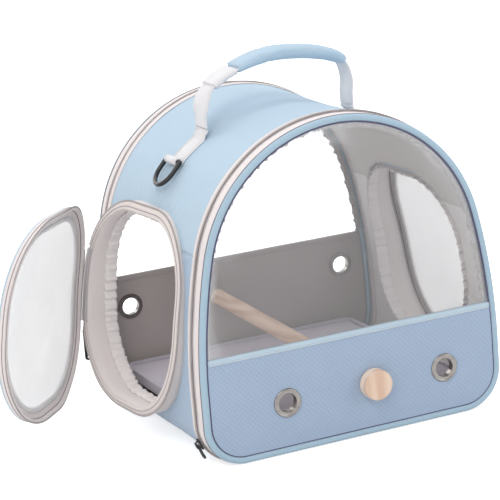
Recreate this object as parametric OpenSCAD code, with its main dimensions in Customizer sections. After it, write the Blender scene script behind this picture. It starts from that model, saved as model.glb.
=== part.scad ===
// Soft-sided travel carrier for a small bird: an arched fabric body with a clear
// front and back panel, a zipped round door in each side, a perch and a tray.
// Origin: middle of the base on the floor. +X right, +Y back, +Z up.

/* [Carrier] */
// Outer width across the side walls
body_w = 300; // [270:1:330]
// Outer height from the floor to the roof
body_h = 296; // [280:1:320]
// Outer depth over the front and back panels
body_d = 258; // [248:1:280]
// Radius of the two bottom corners of the arch
corner_r = 38; // [30:1:45]
// Height at which the side walls start to lean inwards
spring_h = 64; // [58:1:72]
// Angle that each side wall leans through before the crown
lean = 13; // [12:0.5:14]

/* [Fabric] */
// Thickness of the outer cloth with its foam
cover_t = 2.2; // [1.6:0.1:3]
// Thickness of the inner lining
lining_t = 1; // [0.6:0.1:1.6]
// Thickness of the clear sheet in the windows
clear_t = 0.8; // [0.5:0.1:1.2]
// Radius of the piping round each panel
pipe_r = 3.1; // [2.6:0.1:3.6]
// Radius of the spring wire inside the piping
wire_r = 1.2; // [0.8:0.1:1.5]
// Thickness of the stiffener board in each panel
board_t = 1.6; // [1:0.1:2.4]
// Thickness of the loose board on the bottom
base_board_t = 2.4; // [1.5:0.1:4]

/* [Zips] */
// Distance from the front or back face to its zip
rim_d = 19; // [16:0.5:22]
// Width of a zip tape on the body
tape_w = 8; // [6:0.5:9]
// Thickness of a zip tape
tape_t = 0.8; // [0.5:0.1:1.2]
// Height of the row of teeth above the body
teeth_h = 2; // [1.5:0.1:2.6]
// Width of one row of teeth
teeth_w = 1.5; // [1.2:0.1:2]
// Angle below level at which the panel zips end on the bottom corners
zip_end = 65; // [50:1:68]
// Angle below level of the slider on the panel zips
slider_at = 24; // [18:1:30]
// Length of a slider
slider_l = 11; // [9:0.5:13]
// Width of a slider
slider_w = 8; // [7:0.5:9]
// Length of the pull tab on the panel sliders
short_pull_l = 15; // [12:1:16]
// Length of the pull tab on the door sliders
long_pull_l = 29; // [20:1:34]

/* [Panels] */
// Height of the cloth part of the front panel
front_split = 97; // [85:1:110]
// Height of the cloth part of the back panel
back_split = 118; // [100:1:130]
// Radius of the hole through an eyelet
eyelet_r = 8.5; // [6:0.5:10]
// Width of an eyelet's flange
flange_w = 5; // [3.5:0.5:6]
// Height of the front eyelets
front_eyelet_z = 47; // [42:1:52]
// Distance from the middle of the eyelet pair to each front eyelet
front_eyelet_x = 80; // [65:1:88]
// Offset of the front eyelets and perch to the right of the middle
group_x = 11; // [-5:1:15]
// Height of the back eyelets
back_eyelet_z = 90; // [70:1:92]
// Distance from the middle to each back eyelet
back_eyelet_x = 116; // [70:1:120]

/* [Perch] */
// Diameter of the perch
perch_dia = 15; // [12:0.5:16]
// Distance from the end of the perch to the back panel
perch_end_gap = 14; // [12:1:110]
// Height of the perch
perch_z = 48; // [47:1:54]
// Angle that the perch leans to the left on its bolt
perch_skew = 11.5; // [0:0.5:12]
// Angle that the perch rises to the back on its bolt
perch_rise = 9.5; // [0:0.5:10]
// Radius of the bolt through the panel
bolt_r = 2.5; // [2:0.5:3]
// Depth of the bolt in the perch
bolt_in = 14; // [10:1:15]
// Diameter of the knob
knob_dia = 28; // [22:1:32]
// Thickness of the knob
knob_t = 12; // [11:0.5:15]

/* [Doors] */
// Distance from the front zip's tape to the door rings
door_front_gap = 9.5; // [6:0.1:14]
// Distance from the back zip's tape to the door rings
door_back_gap = 3; // [2.5:0.1:8]
// Height of a door
door_h = 191; // [184:1:196]
// Radius of the door's corners
door_r = 72; // [60:1:80]
// Radius of the door's lower front corner
door_low_r = 92; // [80:1:94]
// Height of the door's lower edge above the floor
door_z = 25; // [22:1:30]
// Height that the front of the door ring stands out from the wall
ring_h = 7.5; // [7:0.5:12]
// Angle at which the ring rises from its front to its back
ring_yaw = 5; // [2:0.5:6]
// Angle at which the ring sinks towards its top
ring_pitch = 3.6; // [2:0.2:4]
// Width of the door ring
ring_t = 8; // [6:0.5:10]
// Depth of the door's rim
door_rim_h = 6; // [5:0.5:9]
// Width of the flange round the door's window
door_flange = 13; // [9:1:18]
// Angle at which the left door stands open
door_open = 45; // [0:1:120]
// Height of the lower end of a door's cloth hinge
hinge_z = 92; // [90:1:100]
// Length of the cloth hinge of a door
hinge_l = 62; // [50:1:68]

/* [Handle] */
// Width of the webbing
web_w = 25; // [20:1:30]
// Thickness of the webbing
web_t = 1.6; // [1.2:0.1:2.2]
// Distance from the middle to each end of the handle
handle_x = 75; // [70:1:80]
// Height of the handle's bending line above the roof
handle_lift = 17.5; // [16.5:0.5:20]
// Thickness of the padded grip
grip_t = 12; // [10:0.5:14]
// Width of the padded grip
grip_w = 30; // [28:1:34]
// Angle of each D-ring from the top of the crown
ring_at = 47.5; // [46:0.5:55]
// Radius of the D-ring's wire
d_wire_r = 2.2; // [1.8:0.1:2.6]
// Depth of the D-ring's loop
d_loop = 24; // [17:1:26]

/* [Tray] */
// Distance from the tray to the left wall
tray_left_gap = 14.8; // [12:0.2:20]
// Distance from the tray to the right wall
tray_right_gap = 28.8; // [24:0.2:36]
// Distance from the tray to the front and back panels
tray_end_gap = 8.3; // [6:0.1:14]
// Height of the tray's rim above the floor
tray_z = 36; // [33:0.5:37]
// Depth of the tray's rim
tray_h = 10; // [8:0.5:12]
// Wall thickness of the tray
tray_wall = 3; // [2:0.5:4]

/* [Fits] */
// Clearance between pieces that move past each other
gap = 0.3; // [0.2:0.05:0.5]
// Clearance round the bolt
bolt_gap = 0.05; // [0.02:0.01:0.1]

/* [Hidden] */
$fn = 96;
sweep_fn = 200;
big = 500;
half_w = body_w / 2;
shell_t = cover_t + lining_t;

// The arch: a crown arc, two leaning side arcs, straight walls and bottom corners, all tangent.
lean_t = tan(lean / 2);
crown_r = (half_w - (body_h - spring_h) * lean_t) / (1 - lean_t);
crown_z = body_h - crown_r;
side_r = (half_w - crown_r * cos(lean)) / (1 - cos(lean));
seam_z = spring_h + side_r * sin(lean);
function wall_x(z) = half_w - side_r + sqrt(pow(side_r, 2) - pow(z - spring_h, 2));
function roof_z(x) = crown_z + sqrt(pow(crown_r, 2) - pow(x, 2));

// Depths are measured from the middle of the body towards a panel.
zip_v = body_d / 2 - rim_d;
pipe_v = body_d / 2 - pipe_r;
seam_in = 2 * pipe_r + 0.2;
seat = 0.05;
panel_t = 1.6;
lining_v = pipe_v - board_t - lining_t;
washer_t = 1.2;
perch_v = lining_v - washer_t;
perch_x = group_x + 6;
perch_l = (perch_v + lining_v - perch_end_gap) / cos(perch_skew) / cos(perch_rise);
tray_d = 2 * (lining_v - tray_end_gap);
tray_w = 2 * (half_w - shell_t) - tray_left_gap - tray_right_gap;
tray_x = (tray_right_gap - tray_left_gap) / 2;

tape_edge = zip_v - gap / 2 - tape_w;
door_w = 2 * tape_edge - door_front_gap - door_back_gap;
door_yc = (door_front_gap - door_back_gap) / 2;
door_zc = door_z + door_h / 2;
turn_max = min(door_w, door_h) / 2 - 1;
turn_r = min(door_r, turn_max);
low_turn_r = min(door_low_r, turn_max);
door_plane = half_w + ring_h + gap / 2;
lean_y = door_yc - door_w / 2;
hinge_y = door_yc + door_w / 2 + teeth_h;
door_skin = 2;
bead_r = 1.2;
tooth_side = 1.6;
tooth_root = 0.5;

board_top = shell_t + base_board_t;
pivot_z = roof_z(handle_x) + handle_lift;
bar_lift = d_wire_r + web_t + 0.4;
bail_r = 3.3;
pin_r = 0.7;

cloth = [0.66, 0.77, 0.88];
cloth_top = [0.75, 0.86, 0.93];
tape_c = [0.88, 0.84, 0.83];
lining_c = [0.55, 0.53, 0.54];
clear_c = [0.93, 0.95, 0.97, 0.3];
steel_c = [0.6, 0.6, 0.6];
black_c = [0.13, 0.13, 0.14];
wood_c = [0.88, 0.74, 0.6];
web_c = [0.94, 0.93, 0.93];
gather_c = [0.92, 0.91, 0.91];
tray_c = [0.73, 0.71, 0.77];

// The face frame has x to the right, y up and z towards the front panel.
module face_frame(back = false) {
    rotate([90, 0, back ? 180 : 0]) children();
}

// Sweeps a profile round the arch. In the profile, x is the distance outside the arch's
// outline and y is the depth towards the panel.
module crown_sweep() {
    translate([0, crown_z, 0])
        rotate([0, 0, lean])
            rotate_extrude(angle = 180 - 2 * lean, $fn = sweep_fn) translate([crown_r, 0]) children();
}

module side_sweep(side, drop = 90) {
    mirror([side < 0 ? 1 : 0, 0, 0]) {
        translate([half_w - side_r, spring_h, 0])
            rotate_extrude(angle = lean, $fn = 4 * sweep_fn) translate([side_r, 0]) children();
        translate([half_w, spring_h, 0])
            rotate([90, 0, 0])
                linear_extrude(spring_h - corner_r) children();
        translate([half_w - corner_r, corner_r, 0])
            rotate([0, 0, -drop])
                rotate_extrude(angle = drop, $fn = sweep_fn) translate([corner_r, 0]) children();
    }
}

module base_sweep() {
    translate([half_w - corner_r, 0, 0])
        rotate([0, 0, -90])
            rotate([90, 0, 0])
                linear_extrude(body_w - 2 * corner_r) children();
}

// A band round the arch between two distances from its outline and two depths.
module band(u0, u1, v0, v1) {
    translate([u0, v0]) square([u1 - u0, v1 - v0]);
}

// Points along the right half of the arch, moved outwards by u, from the bottom to the top.
function arc(cx, cy, r, a0, a1, n) = [
    for (i = [0:n]) [cx + r * cos(a0 + (a1 - a0) * i / n), cy + r * sin(a0 + (a1 - a0) * i / n)]
];
function half_arch(u, drop = 90) = concat(
    arc(half_w - corner_r, corner_r, corner_r + u, -drop, 0, 18),
    arc(half_w - side_r, spring_h, side_r + u, 0, lean, 12),
    arc(0, crown_z, crown_r + u, lean + 2.75, 90, 27)
);
function mirrored(pts) = [for (i = [len(pts) - 2:-1:0]) [-pts[i][0], pts[i][1]]];
function whole_line(u, drop) = concat(half_arch(u, drop), mirrored(half_arch(u, drop)));
function backwards(pts) = [for (i = [len(pts) - 1:-1:0]) pts[i]];

module arch_sheet(inset, low, high) {
    intersection() {
        polygon(whole_line(-inset, 90));
        translate([-half_w, low]) square([body_w, high - low]);
    }
}

// ---- Body shell ----

module shell_band(u0, u1) {
    v = zip_v - gap / 2;
    band(u0, u1, -v, v);
}

// The door's outline in the plane of the side wall, y to the right and z up.
module door_outline(inset) {
    w = door_w / 2 - inset;
    h = door_h / 2 - inset;
    r = turn_r - inset;
    low = low_turn_r - inset;
    translate([door_yc, door_zc]) {
        polygon([
            [low - w, -h], [w - r, -h], [w, r - h], [w, h - r],
            [w - r, h], [r - w, h], [-w, h - r], [-w, low - h]
        ]);
        translate([low - w, low - h]) circle(low);
        for (s = [[1, -1], [1, 1], [-1, 1]]) translate([s[0] * (w - r), s[1] * (h - r)]) circle(r);
    }
}

// The ring and the door lean together: further out at the back and at the bottom.
module ring_lean() {
    translate([half_w, lean_y, door_zc])
        rotate([0, -ring_pitch, -ring_yaw])
            translate([-half_w, -lean_y, -door_zc]) children();
}

module door_prism(inset) {
    ring_lean()
        rotate([90, 0, 90])
            linear_extrude(big) door_outline(inset);
}

module door_frame(outer, inner) {
    difference() {
        door_prism(outer);
        door_prism(inner);
    }
}

// A layer that follows the right-hand wall and the part of the crown above it.
module wall_layer(u0, u1) {
    v = body_d / 2;
    face_frame()
        translate([0, 0, -v])
            linear_extrude(2 * v) polygon(concat(half_arch(u1), backwards(half_arch(u0))));
}

// Everything inside the right-hand wall and the crown, grown outwards by u.
module arch_block(u) {
    v = body_d / 2;
    face_frame()
        translate([0, 0, -v])
            linear_extrude(2 * v)
                polygon(concat([[-half_w, crown_z + crown_r + u], [-half_w, -u]], half_arch(u)));
}

module on_side(side) {
    mirror([side < 0 ? 1 : 0, 0, 0]) children();
}

module roof_cover() {
    color(cloth_top)
        difference() {
            face_frame() crown_sweep() shell_band(-cover_t, 0);
            for (side = [-1, 1]) on_side(side) door_prism(ring_t);
        }
}

module roof_lining() {
    color(lining_c)
        difference() {
            face_frame() crown_sweep() shell_band(-shell_t, -cover_t);
            for (side = [-1, 1]) on_side(side) door_prism(ring_t);
        }
}

module wall_cover(side) {
    color(cloth)
        difference() {
            face_frame() side_sweep(side) shell_band(-cover_t, 0);
            on_side(side) door_prism(ring_t);
        }
}

module wall_lining(side) {
    color(lining_c)
        difference() {
            face_frame() side_sweep(side) shell_band(-shell_t, -cover_t);
            on_side(side) door_prism(ring_t);
        }
}

module left_wall_cover() {
    wall_cover(-1);
}

module left_wall_lining() {
    wall_lining(-1);
}

module right_wall_cover() {
    wall_cover(1);
}

module right_wall_lining() {
    wall_lining(1);
}

// The base cloth runs on under the zips to the piping of both panels.
module base_cover() {
    v = pipe_v - pipe_r - gap;
    side = zip_v + gap / 2;
    turn = 90 - zip_end - 1;
    color(cloth) {
        face_frame() base_sweep() band(-shell_t, 0, -v, v);
        for (back = [false, true])
            face_frame(back)
                for (m = [0, 1])
                    mirror([m, 0, 0])
                        translate([half_w - corner_r, corner_r, side])
                            rotate([0, 0, -90])
                                rotate_extrude(angle = turn) translate([corner_r - shell_t, 0]) square([shell_t, v - side]);
    }
}

module base_board() {
    x = half_w - corner_r;
    y = zip_v - 2;
    color(lining_c) translate([-x, -y, shell_t]) cube([2 * x, 2 * y, base_board_t]);
}

// ---- Zips ----

// A strip round the arch, down to where the zip ends on the bottom corners.
module zip_strip(u0, u1, v0, v1) {
    translate([0, 0, v0])
        linear_extrude(v1 - v0)
            polygon(concat(whole_line(u1, zip_end), backwards(whole_line(u0, zip_end))));
}

module zip_track(back) {
    v1 = zip_v - gap / 2;
    color(tape_c)
        face_frame(back) {
            zip_strip(seat, tape_t, tape_edge, v1);
            zip_strip(seat, teeth_h, v1 - teeth_w, v1);
        }
}

module front_zip_track() {
    zip_track(false);
}

module back_zip_track() {
    zip_track(true);
}

// Slider plate with a bail, seated on the teeth. x is outwards, y along the zip, z across.
module zip_slider() {
    narrow = slider_w * 0.32;
    translate([gap, 0, 0])
        rotate([0, 90, 0])
            linear_extrude(1.4)
                hull() {
                    translate([0, slider_l / 2 - slider_w * 0.38]) circle(slider_w * 0.38, $fn = 32);
                    translate([slider_w / 2 - 1.5, -slider_l / 2 + 1.5]) circle(1.5, $fn = 24);
                    translate([-slider_w / 2 + 1.5, -slider_l / 2 + 1.5]) circle(1.5, $fn = 24);
                    translate([0, -slider_l / 2 + narrow]) circle(narrow, $fn = 24);
                }
    translate([gap + 1.4, 0, -0.8])
        linear_extrude(1.6)
            difference() {
                hull() {
                    translate([0, -4]) square([0.1, 8]);
                    translate([2.4, -2.8]) square([1.1, 5.6]);
                }
                translate([0, -2.4]) square([2.5, 4.8]);
            }
}

// Pull tab hanging from the slider's bail towards -y, turned up by angle about its pin.
module zip_pull(length, angle = 0) {
    translate([bail_r, 0, 0])
        rotate([0, 0, angle]) {
            translate([-0.1, 0, -2.9]) cylinder(h = 5.8, r = pin_r, $fn = 32);
            for (s = [-1, 1])
                translate([-pin_r - 0.1, -7.4, s * 2.2 - 0.7])
                    cube([2 * pin_r, 7.4, 1.4]);
            translate([-pin_r - 0.1, 0, 0])
                rotate([0, 90, 0])
                    linear_extrude(2 * pin_r + 0.2)
                        difference() {
                            hull() {
                                translate([-2.9, -8.8]) square([5.8, 1.6]);
                                translate([0, -length + 3.6]) circle(3.6, $fn = 32);
                            }
                            translate([0, -length + 3.6]) circle(1.3, $fn = 24);
                        }
        }
}

// Places a slider on the bottom corner of a panel zip, at the left as seen from that panel.
module panel_slider_place(back) {
    face_frame(back)
        translate([-half_w + corner_r, corner_r, zip_v])
            rotate([0, 0, 180 + slider_at])
                translate([corner_r + teeth_h, 0, 0])
                    mirror([0, 1, 0]) children();
}

// Places a slider on the lower back corner of a door ring, where the zip ends.
module door_slider_place(side) {
    a = 12;
    on_side(side)
        ring_lean()
            rotate([90, 0, 90])
                translate([door_yc + door_w / 2 - turn_r, door_z + turn_r, half_w + ring_h - slider_w / 2 - gap])
                    rotate([0, 0, -a])
                        translate([turn_r + tooth_side, 0, 0]) children();
}

module front_slider() {
    color(black_c) panel_slider_place(false) zip_slider();
}

module front_pull() {
    color(black_c) panel_slider_place(false) zip_pull(short_pull_l);
}

module back_slider() {
    color(black_c) panel_slider_place(true) zip_slider();
}

module back_pull() {
    color(black_c) panel_slider_place(true) zip_pull(short_pull_l);
}

module left_door_slider() {
    color(black_c) door_slider_place(-1) zip_slider();
}

module left_door_pull() {
    color(black_c) door_slider_place(-1) zip_pull(long_pull_l);
}

module right_door_slider() {
    color(black_c) door_slider_place(1) zip_slider();
}

module right_door_pull() {
    color(black_c) door_slider_place(1) zip_pull(long_pull_l);
}

// ---- Door rings and doors, modelled on the right-hand side ----

module hinge_gap() {
    ring_lean() translate([0, door_yc, hinge_z]) cube([big, big, hinge_l]);
}

module door_ring(side) {
    color(tape_c)
        on_side(side) {
            difference() {
                intersection() {
                    ring_lean() arch_block(ring_h);
                    door_frame(0, ring_t);
                }
                arch_block(seat);
            }
            difference() {
                intersection() {
                    ring_lean() wall_layer(ring_h - teeth_w, ring_h);
                    door_frame(-tooth_side, tooth_root);
                }
                arch_block(seat);
                hinge_gap();
            }
        }
}

module left_door_ring() {
    door_ring(-1);
}

module right_door_ring() {
    door_ring(1);
}

// Gathered lining inside the ring, from the zip to inside the cabin.
module ring_gather(side) {
    color(gather_c)
        on_side(side)
            difference() {
                intersection() {
                    ring_lean() arch_block(ring_h - 1);
                    door_frame(ring_t + 0.1, ring_t + 2.1);
                }
                arch_block(-shell_t - 3);
            }
}

module left_ring_gather() {
    ring_gather(-1);
}

module right_ring_gather() {
    ring_gather(1);
}

// Folded strip of cloth on the ring, with the door's bead turning over its edge.
module hinge_tape(side) {
    back = door_yc + door_w / 2;
    top = ring_h - bead_r - gap / 2;
    color(cloth)
        on_side(side)
            difference() {
                ring_lean() {
                    intersection() {
                        arch_block(top);
                        translate([0, back + 0.05, hinge_z]) cube([big, 1.2, hinge_l]);
                    }
                    intersection() {
                        wall_layer(top - 1.2, top);
                        translate([0, back + 0.05, hinge_z]) cube([big, teeth_h + 0.5, hinge_l]);
                    }
                }
                arch_block(seat);
            }
}

module left_hinge_tape() {
    hinge_tape(-1);
}

module right_hinge_tape() {
    hinge_tape(1);
}

// Bead along the turning line, held by the edge of the door.
module hinge_bead() {
    translate([door_plane, hinge_y, hinge_z + 2]) {
        cylinder(h = 22, r = bead_r, $fn = 32);
        translate([gap / 2, -teeth_h - 1, 0]) cube([2, teeth_h + 1, 22]);
    }
}

// A door turned open about its cloth hinge by angle.
module swing(side, angle) {
    on_side(side)
        ring_lean()
            translate([door_plane, hinge_y, 0])
                rotate([0, 0, angle])
                    translate([-door_plane, -hinge_y, 0]) children();
}

module flat_frame(outer, inner) {
    rotate([90, 0, 90])
        linear_extrude(big)
            difference() {
                door_outline(outer);
                door_outline(inner);
            }
}

module door_rim(side, angle) {
    u0 = ring_h + gap;
    u1 = u0 + door_rim_h;
    color(tape_c)
        swing(side, angle) {
            intersection() {
                wall_layer(u0, u1);
                flat_frame(0, 2.4);
            }
            intersection() {
                wall_layer(u1 - door_skin, u1);
                flat_frame(2.4, door_flange);
            }
            difference() {
                intersection() {
                    wall_layer(u0, u0 + teeth_w);
                    flat_frame(-tooth_side, tooth_root);
                }
                translate([0, door_yc, hinge_z]) cube([big, big, hinge_l]);
            }
            hinge_bead();
        }
}

module door_window(side, angle) {
    u1 = ring_h + gap + door_rim_h - door_skin;
    color(clear_c)
        swing(side, angle)
            intersection() {
                wall_layer(u1 - clear_t, u1);
                rotate([90, 0, 90])
                    linear_extrude(big) door_outline(door_flange - 5);
            }
}

module left_door_rim() {
    door_rim(-1, door_open);
}

module left_door_window() {
    door_window(-1, door_open);
}

module right_door_rim() {
    door_rim(1, 0);
}

module right_door_window() {
    door_window(1, 0);
}

// ---- Front and back panels ----

module pipe_section() {
    translate([-pipe_r, pipe_v])
        difference() {
            circle(pipe_r, $fn = 48);
            circle(wire_r + 0.1, $fn = 32);
        }
}

module wire_section() {
    translate([-pipe_r, pipe_v]) circle(wire_r, $fn = 32);
}

module whole_arch() {
    crown_sweep() children();
    side_sweep(1) children();
    side_sweep(-1) children();
    base_sweep() children();
}

module piping(back) {
    color(cloth) face_frame(back) whole_arch() pipe_section();
}

module arch_wire(back) {
    color(steel_c) face_frame(back) whole_arch() wire_section();
}

module rim_tape(back) {
    v0 = zip_v + gap / 2;
    v1 = pipe_v - sqrt(pow(pipe_r, 2) - pow(pipe_r - tape_t, 2)) - 0.1;
    color(tape_c)
        face_frame(back) {
            zip_strip(-tape_t, 0, v0, v1);
            zip_strip(-tape_t, teeth_h, v0, v0 + teeth_w);
        }
}

module eyelet_places(back) {
    x = back ? back_eyelet_x : front_eyelet_x;
    z = back ? back_eyelet_z : front_eyelet_z;
    mid = back ? 0 : group_x;
    for (s = [-1, 1]) translate([mid + s * x, z]) children();
}

module panel_holes(back) {
    eyelet_places(back) circle(eyelet_r + 1.1);
    if (!back) translate([perch_x, perch_z]) circle(bolt_r + 0.5);
}

module panel_layer(back, inset, v0, t) {
    split = back ? back_split : front_split;
    face_frame(back)
        translate([0, 0, v0])
            linear_extrude(t)
                difference() {
                    arch_sheet(inset, 0, split);
                    panel_holes(back);
                }
}

module panel_cover(back) {
    color(cloth) panel_layer(back, seam_in, pipe_v, panel_t);
}

module panel_board(back) {
    color(web_c) panel_layer(back, seam_in, pipe_v - board_t, board_t);
}

module panel_lining(back) {
    color(lining_c) panel_layer(back, seam_in, lining_v, lining_t);
}

module panel_window(back) {
    split = back ? back_split : front_split;
    color(clear_c)
        face_frame(back)
            translate([0, 0, pipe_v - clear_t / 2])
                linear_extrude(clear_t) arch_sheet(seam_in, split + 1.2, body_h);
}

// A bound edge that takes the cloth below and the clear sheet above.
module window_binding(back) {
    split = back ? back_split : front_split;
    wide = wall_x(split + 3) - seam_in - 0.3;
    depth = panel_t + board_t + lining_t + 0.2;
    color(cloth_top)
        face_frame(back)
            difference() {
                translate([-wide, split - 2.5, lining_v - 0.8]) cube([2 * wide, 5.5, depth + 1.4]);
                translate([-big / 2, split - 4, lining_v - 0.1]) cube([big, 4.1, depth]);
                translate([-big / 2, split + 1.1, pipe_v - clear_t / 2 - 0.1]) cube([big, 4, clear_t + 0.2]);
            }
}

module eyelets(back) {
    front_v = pipe_v + panel_t;
    out_r = eyelet_r + flange_w;
    color(steel_c)
        face_frame(back)
            eyelet_places(back) {
                rotate_extrude()
                    difference() {
                        union() {
                            band(eyelet_r, eyelet_r + 1, lining_v - 1.4, front_v);
                            translate([out_r - 1.5, front_v]) circle(1.5, $fn = 32);
                            translate([eyelet_r + 1.1, front_v]) circle(1.1, $fn = 32);
                            band(eyelet_r + 1, out_r - 1.5, front_v, front_v + 1.1);
                        }
                        band(eyelet_r + 1, out_r + 1, front_v - 3, front_v);
                    }
                rotate_extrude() band(eyelet_r + 1.05, out_r - 1, lining_v - 1, lining_v);
            }
}

module front_piping() {
    piping(false);
}

module front_arch_wire() {
    arch_wire(false);
}

module front_rim_tape() {
    rim_tape(false);
}

module front_panel_cover() {
    panel_cover(false);
}

module front_panel_board() {
    panel_board(false);
}

module front_panel_lining() {
    panel_lining(false);
}

module front_window() {
    panel_window(false);
}

module front_window_binding() {
    window_binding(false);
}

module front_eyelets() {
    eyelets(false);
}

module back_piping() {
    piping(true);
}

module back_arch_wire() {
    arch_wire(true);
}

module back_rim_tape() {
    rim_tape(true);
}

module back_panel_cover() {
    panel_cover(true);
}

module back_panel_board() {
    panel_board(true);
}

module back_panel_lining() {
    panel_lining(true);
}

module back_window() {
    panel_window(true);
}

module back_window_binding() {
    window_binding(true);
}

module back_eyelets() {
    eyelets(true);
}

// ---- Perch and knob ----

module at_perch() {
    face_frame() translate([perch_x, perch_z, 0]) children();
}

module perch() {
    color(wood_c)
        at_perch()
            difference() {
                intersection() {
                    translate([0, 0, perch_v])
                        rotate([perch_rise, perch_skew, 0])
                            translate([0, 0, -perch_l]) {
                                translate([0, 0, 1.5]) cylinder(h = perch_l + 10, d = perch_dia);
                                cylinder(h = 1.5, d1 = perch_dia - 3, d2 = perch_dia);
                            }
                    translate([-big / 2, -big / 2, perch_v - big]) cube([big, big, big]);
                }
                translate([0, 0, perch_v - bolt_in - 1]) cylinder(h = bolt_in + 2, r = bolt_r + bolt_gap);
            }
}

module perch_bolt() {
    top = pipe_v + panel_t + knob_t - 4;
    color(steel_c)
        at_perch()
            translate([0, 0, perch_v - bolt_in]) cylinder(h = top - perch_v + bolt_in, r = bolt_r);
}

module perch_washer() {
    color(steel_c)
        at_perch()
            translate([0, 0, perch_v])
                difference() {
                    cylinder(h = washer_t, r = perch_dia / 2 - 0.5);
                    translate([0, 0, -1]) cylinder(h = washer_t + 2, r = bolt_r + 0.3);
                }
}

module knob() {
    r = knob_dia / 2;
    round_r = 1.6;
    seat = pipe_v + panel_t + gap;
    color(wood_c)
        at_perch()
            translate([0, 0, seat])
                difference() {
                    rotate_extrude() {
                        square([r - round_r, knob_t]);
                        translate([0, round_r]) square([r, knob_t - 2 * round_r]);
                        for (z = [round_r, knob_t - round_r])
                            translate([r - round_r, z]) circle(round_r, $fn = 48);
                    }
                    translate([0, 0, -1]) cylinder(h = knob_t - 2.7, r = bolt_r + bolt_gap);
                }
}

// ---- Straps, D-rings and handle ----

module at_crown(side, angle, lift) {
    face_frame()
        translate([0, crown_z, 0])
            rotate([0, 0, 90 - side * angle])
                translate([crown_r + lift, 0, 0]) children();
}

// Webbing sewn down from the end of the handle to the loop that holds the D-ring.
module strap(side) {
    top_at = asin(handle_x / crown_r) - 2;
    tall = pivot_z - web_w / 2 - gap - roof_z(handle_x) - 0.5;
    loop_r = bar_lift - 0.1;
    color(web_c)
        on_side(side)
            difference() {
                union() {
                    face_frame()
                        translate([0, crown_z, 0])
                            rotate([0, 0, 90 - ring_at])
                                rotate_extrude(angle = ring_at - top_at, $fn = sweep_fn)
                                    translate([crown_r + seat, -web_w / 2]) square([web_t, web_w]);
                    at_crown(1, ring_at, bar_lift)
                        translate([0, 0, -web_w / 2]) cylinder(h = web_w, r = loop_r, $fn = 64);
                    translate([handle_x - web_t / 2, -web_w / 2 + 2, roof_z(handle_x) + 0.5])
                        cube([web_t, web_w - 4, tall]);
                }
                at_crown(1, ring_at, bar_lift)
                    translate([0, 0, -web_w]) cylinder(h = 2 * web_w, r = d_wire_r + 0.1, $fn = 64);
            }
}

module left_strap() {
    strap(-1);
}

module right_strap() {
    strap(1);
}

// D-ring: a straight bar in the strap's loop and a half-round bow that lies down the roof.
module d_ring(side) {
    bow_r = web_w / 2 + d_wire_r + 0.6;
    arm = d_loop - bow_r + d_wire_r;
    color(black_c)
        at_crown(side, ring_at, bar_lift)
            mirror([0, side > 0 ? 0 : 1, 0]) {
                translate([0, 0, -bow_r]) cylinder(h = 2 * bow_r, r = d_wire_r, $fn = 48);
                for (s = [-1, 1])
                    translate([0, 0, s * bow_r]) {
                        sphere(d_wire_r, $fn = 48);
                        rotate([90, 0, 0]) cylinder(h = arm, r = d_wire_r, $fn = 48);
                    }
                translate([0, -arm, 0])
                    rotate([0, 90, 0])
                        rotate([0, 0, 180])
                            rotate_extrude(angle = 180, $fn = 96) translate([bow_r, 0]) circle(d_wire_r, $fn = 48);
            }
}

module left_d_ring() {
    d_ring(-1);
}

module right_d_ring() {
    d_ring(1);
}

// Middle line of the handle above its bending line, from left to right, as x and height.
handle_route = [
    [-handle_x, 0], [-73, 11], [-66, 23], [-52, 32.5], [-37, 38], [-15, 44.5], [5, 46.5],
    [33, 44], [58, 38], [71, 29], [76, 14], [handle_x, 0]
];
route_n = len(handle_route) - 1;
function route_at(i) = handle_route[max(0, min(route_n, i))];
function spline(a, b, c, d, t) =
    0.5 * (2 * b + (c - a) * t + (2 * a - 5 * b + 4 * c - d) * pow(t, 2) + (3 * b - a - 3 * c + d) * pow(t, 3));
function route(s) =
    let (i = min(route_n - 1, floor(s)))
    spline(route_at(i - 1), route_at(i), route_at(i + 1), route_at(i + 2), s - i);
function heading(s) =
    let (d = route(min(route_n, s + 0.02)) - route(max(0, s - 0.02)))
    atan2(d[1], d[0]);
function beside(s, off) = route(s) + off * [-sin(heading(s)), cos(heading(s))];

// A flat ribbon along the handle between two stations.
module ribbon(s0, s1, thick, wide, steps) {
    ds = (s1 - s0) / steps;
    translate([0, 0, pivot_z])
        face_frame()
            translate([0, 0, -wide / 2])
                linear_extrude(wide)
                    polygon(concat(
                        [for (i = [0:steps]) beside(s0 + i * ds, thick / 2)],
                        [for (i = [steps:-1:0]) beside(s0 + i * ds, -thick / 2)]
                    ));
}

module handle_webbing() {
    color(web_c) {
        ribbon(0, route_n, web_t, web_w, 60);
        for (s = [-1, 1])
            translate([s * handle_x - web_t / 2, 0, pivot_z])
                rotate([0, 90, 0]) cylinder(h = web_t, d = web_w, $fn = 64);
    }
}

// Padded grip: a rounded section that swells between its ends.
grip_from = 3.9;
grip_to = 8.9;
grip_rings = 20;
grip_sides = 16;
function swell(t) = 0.8 + 0.2 * pow(sin(180 * t), 0.5);
function grip_ring(t) =
    let (s = grip_from + (grip_to - grip_from) * t, a = heading(s), p = route(s), k = swell(t))
    [
        for (j = [0:grip_sides - 1])
            let (
                b = 360 * j / grip_sides,
                up = k * grip_t / 2 * sign(sin(b)) * pow(abs(sin(b)), 0.8),
                out = grip_w / 2 * sign(cos(b)) * pow(abs(cos(b)), 0.7)
            )
            [p[0] - up * sin(a), p[1] + up * cos(a), out]
    ];

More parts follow.
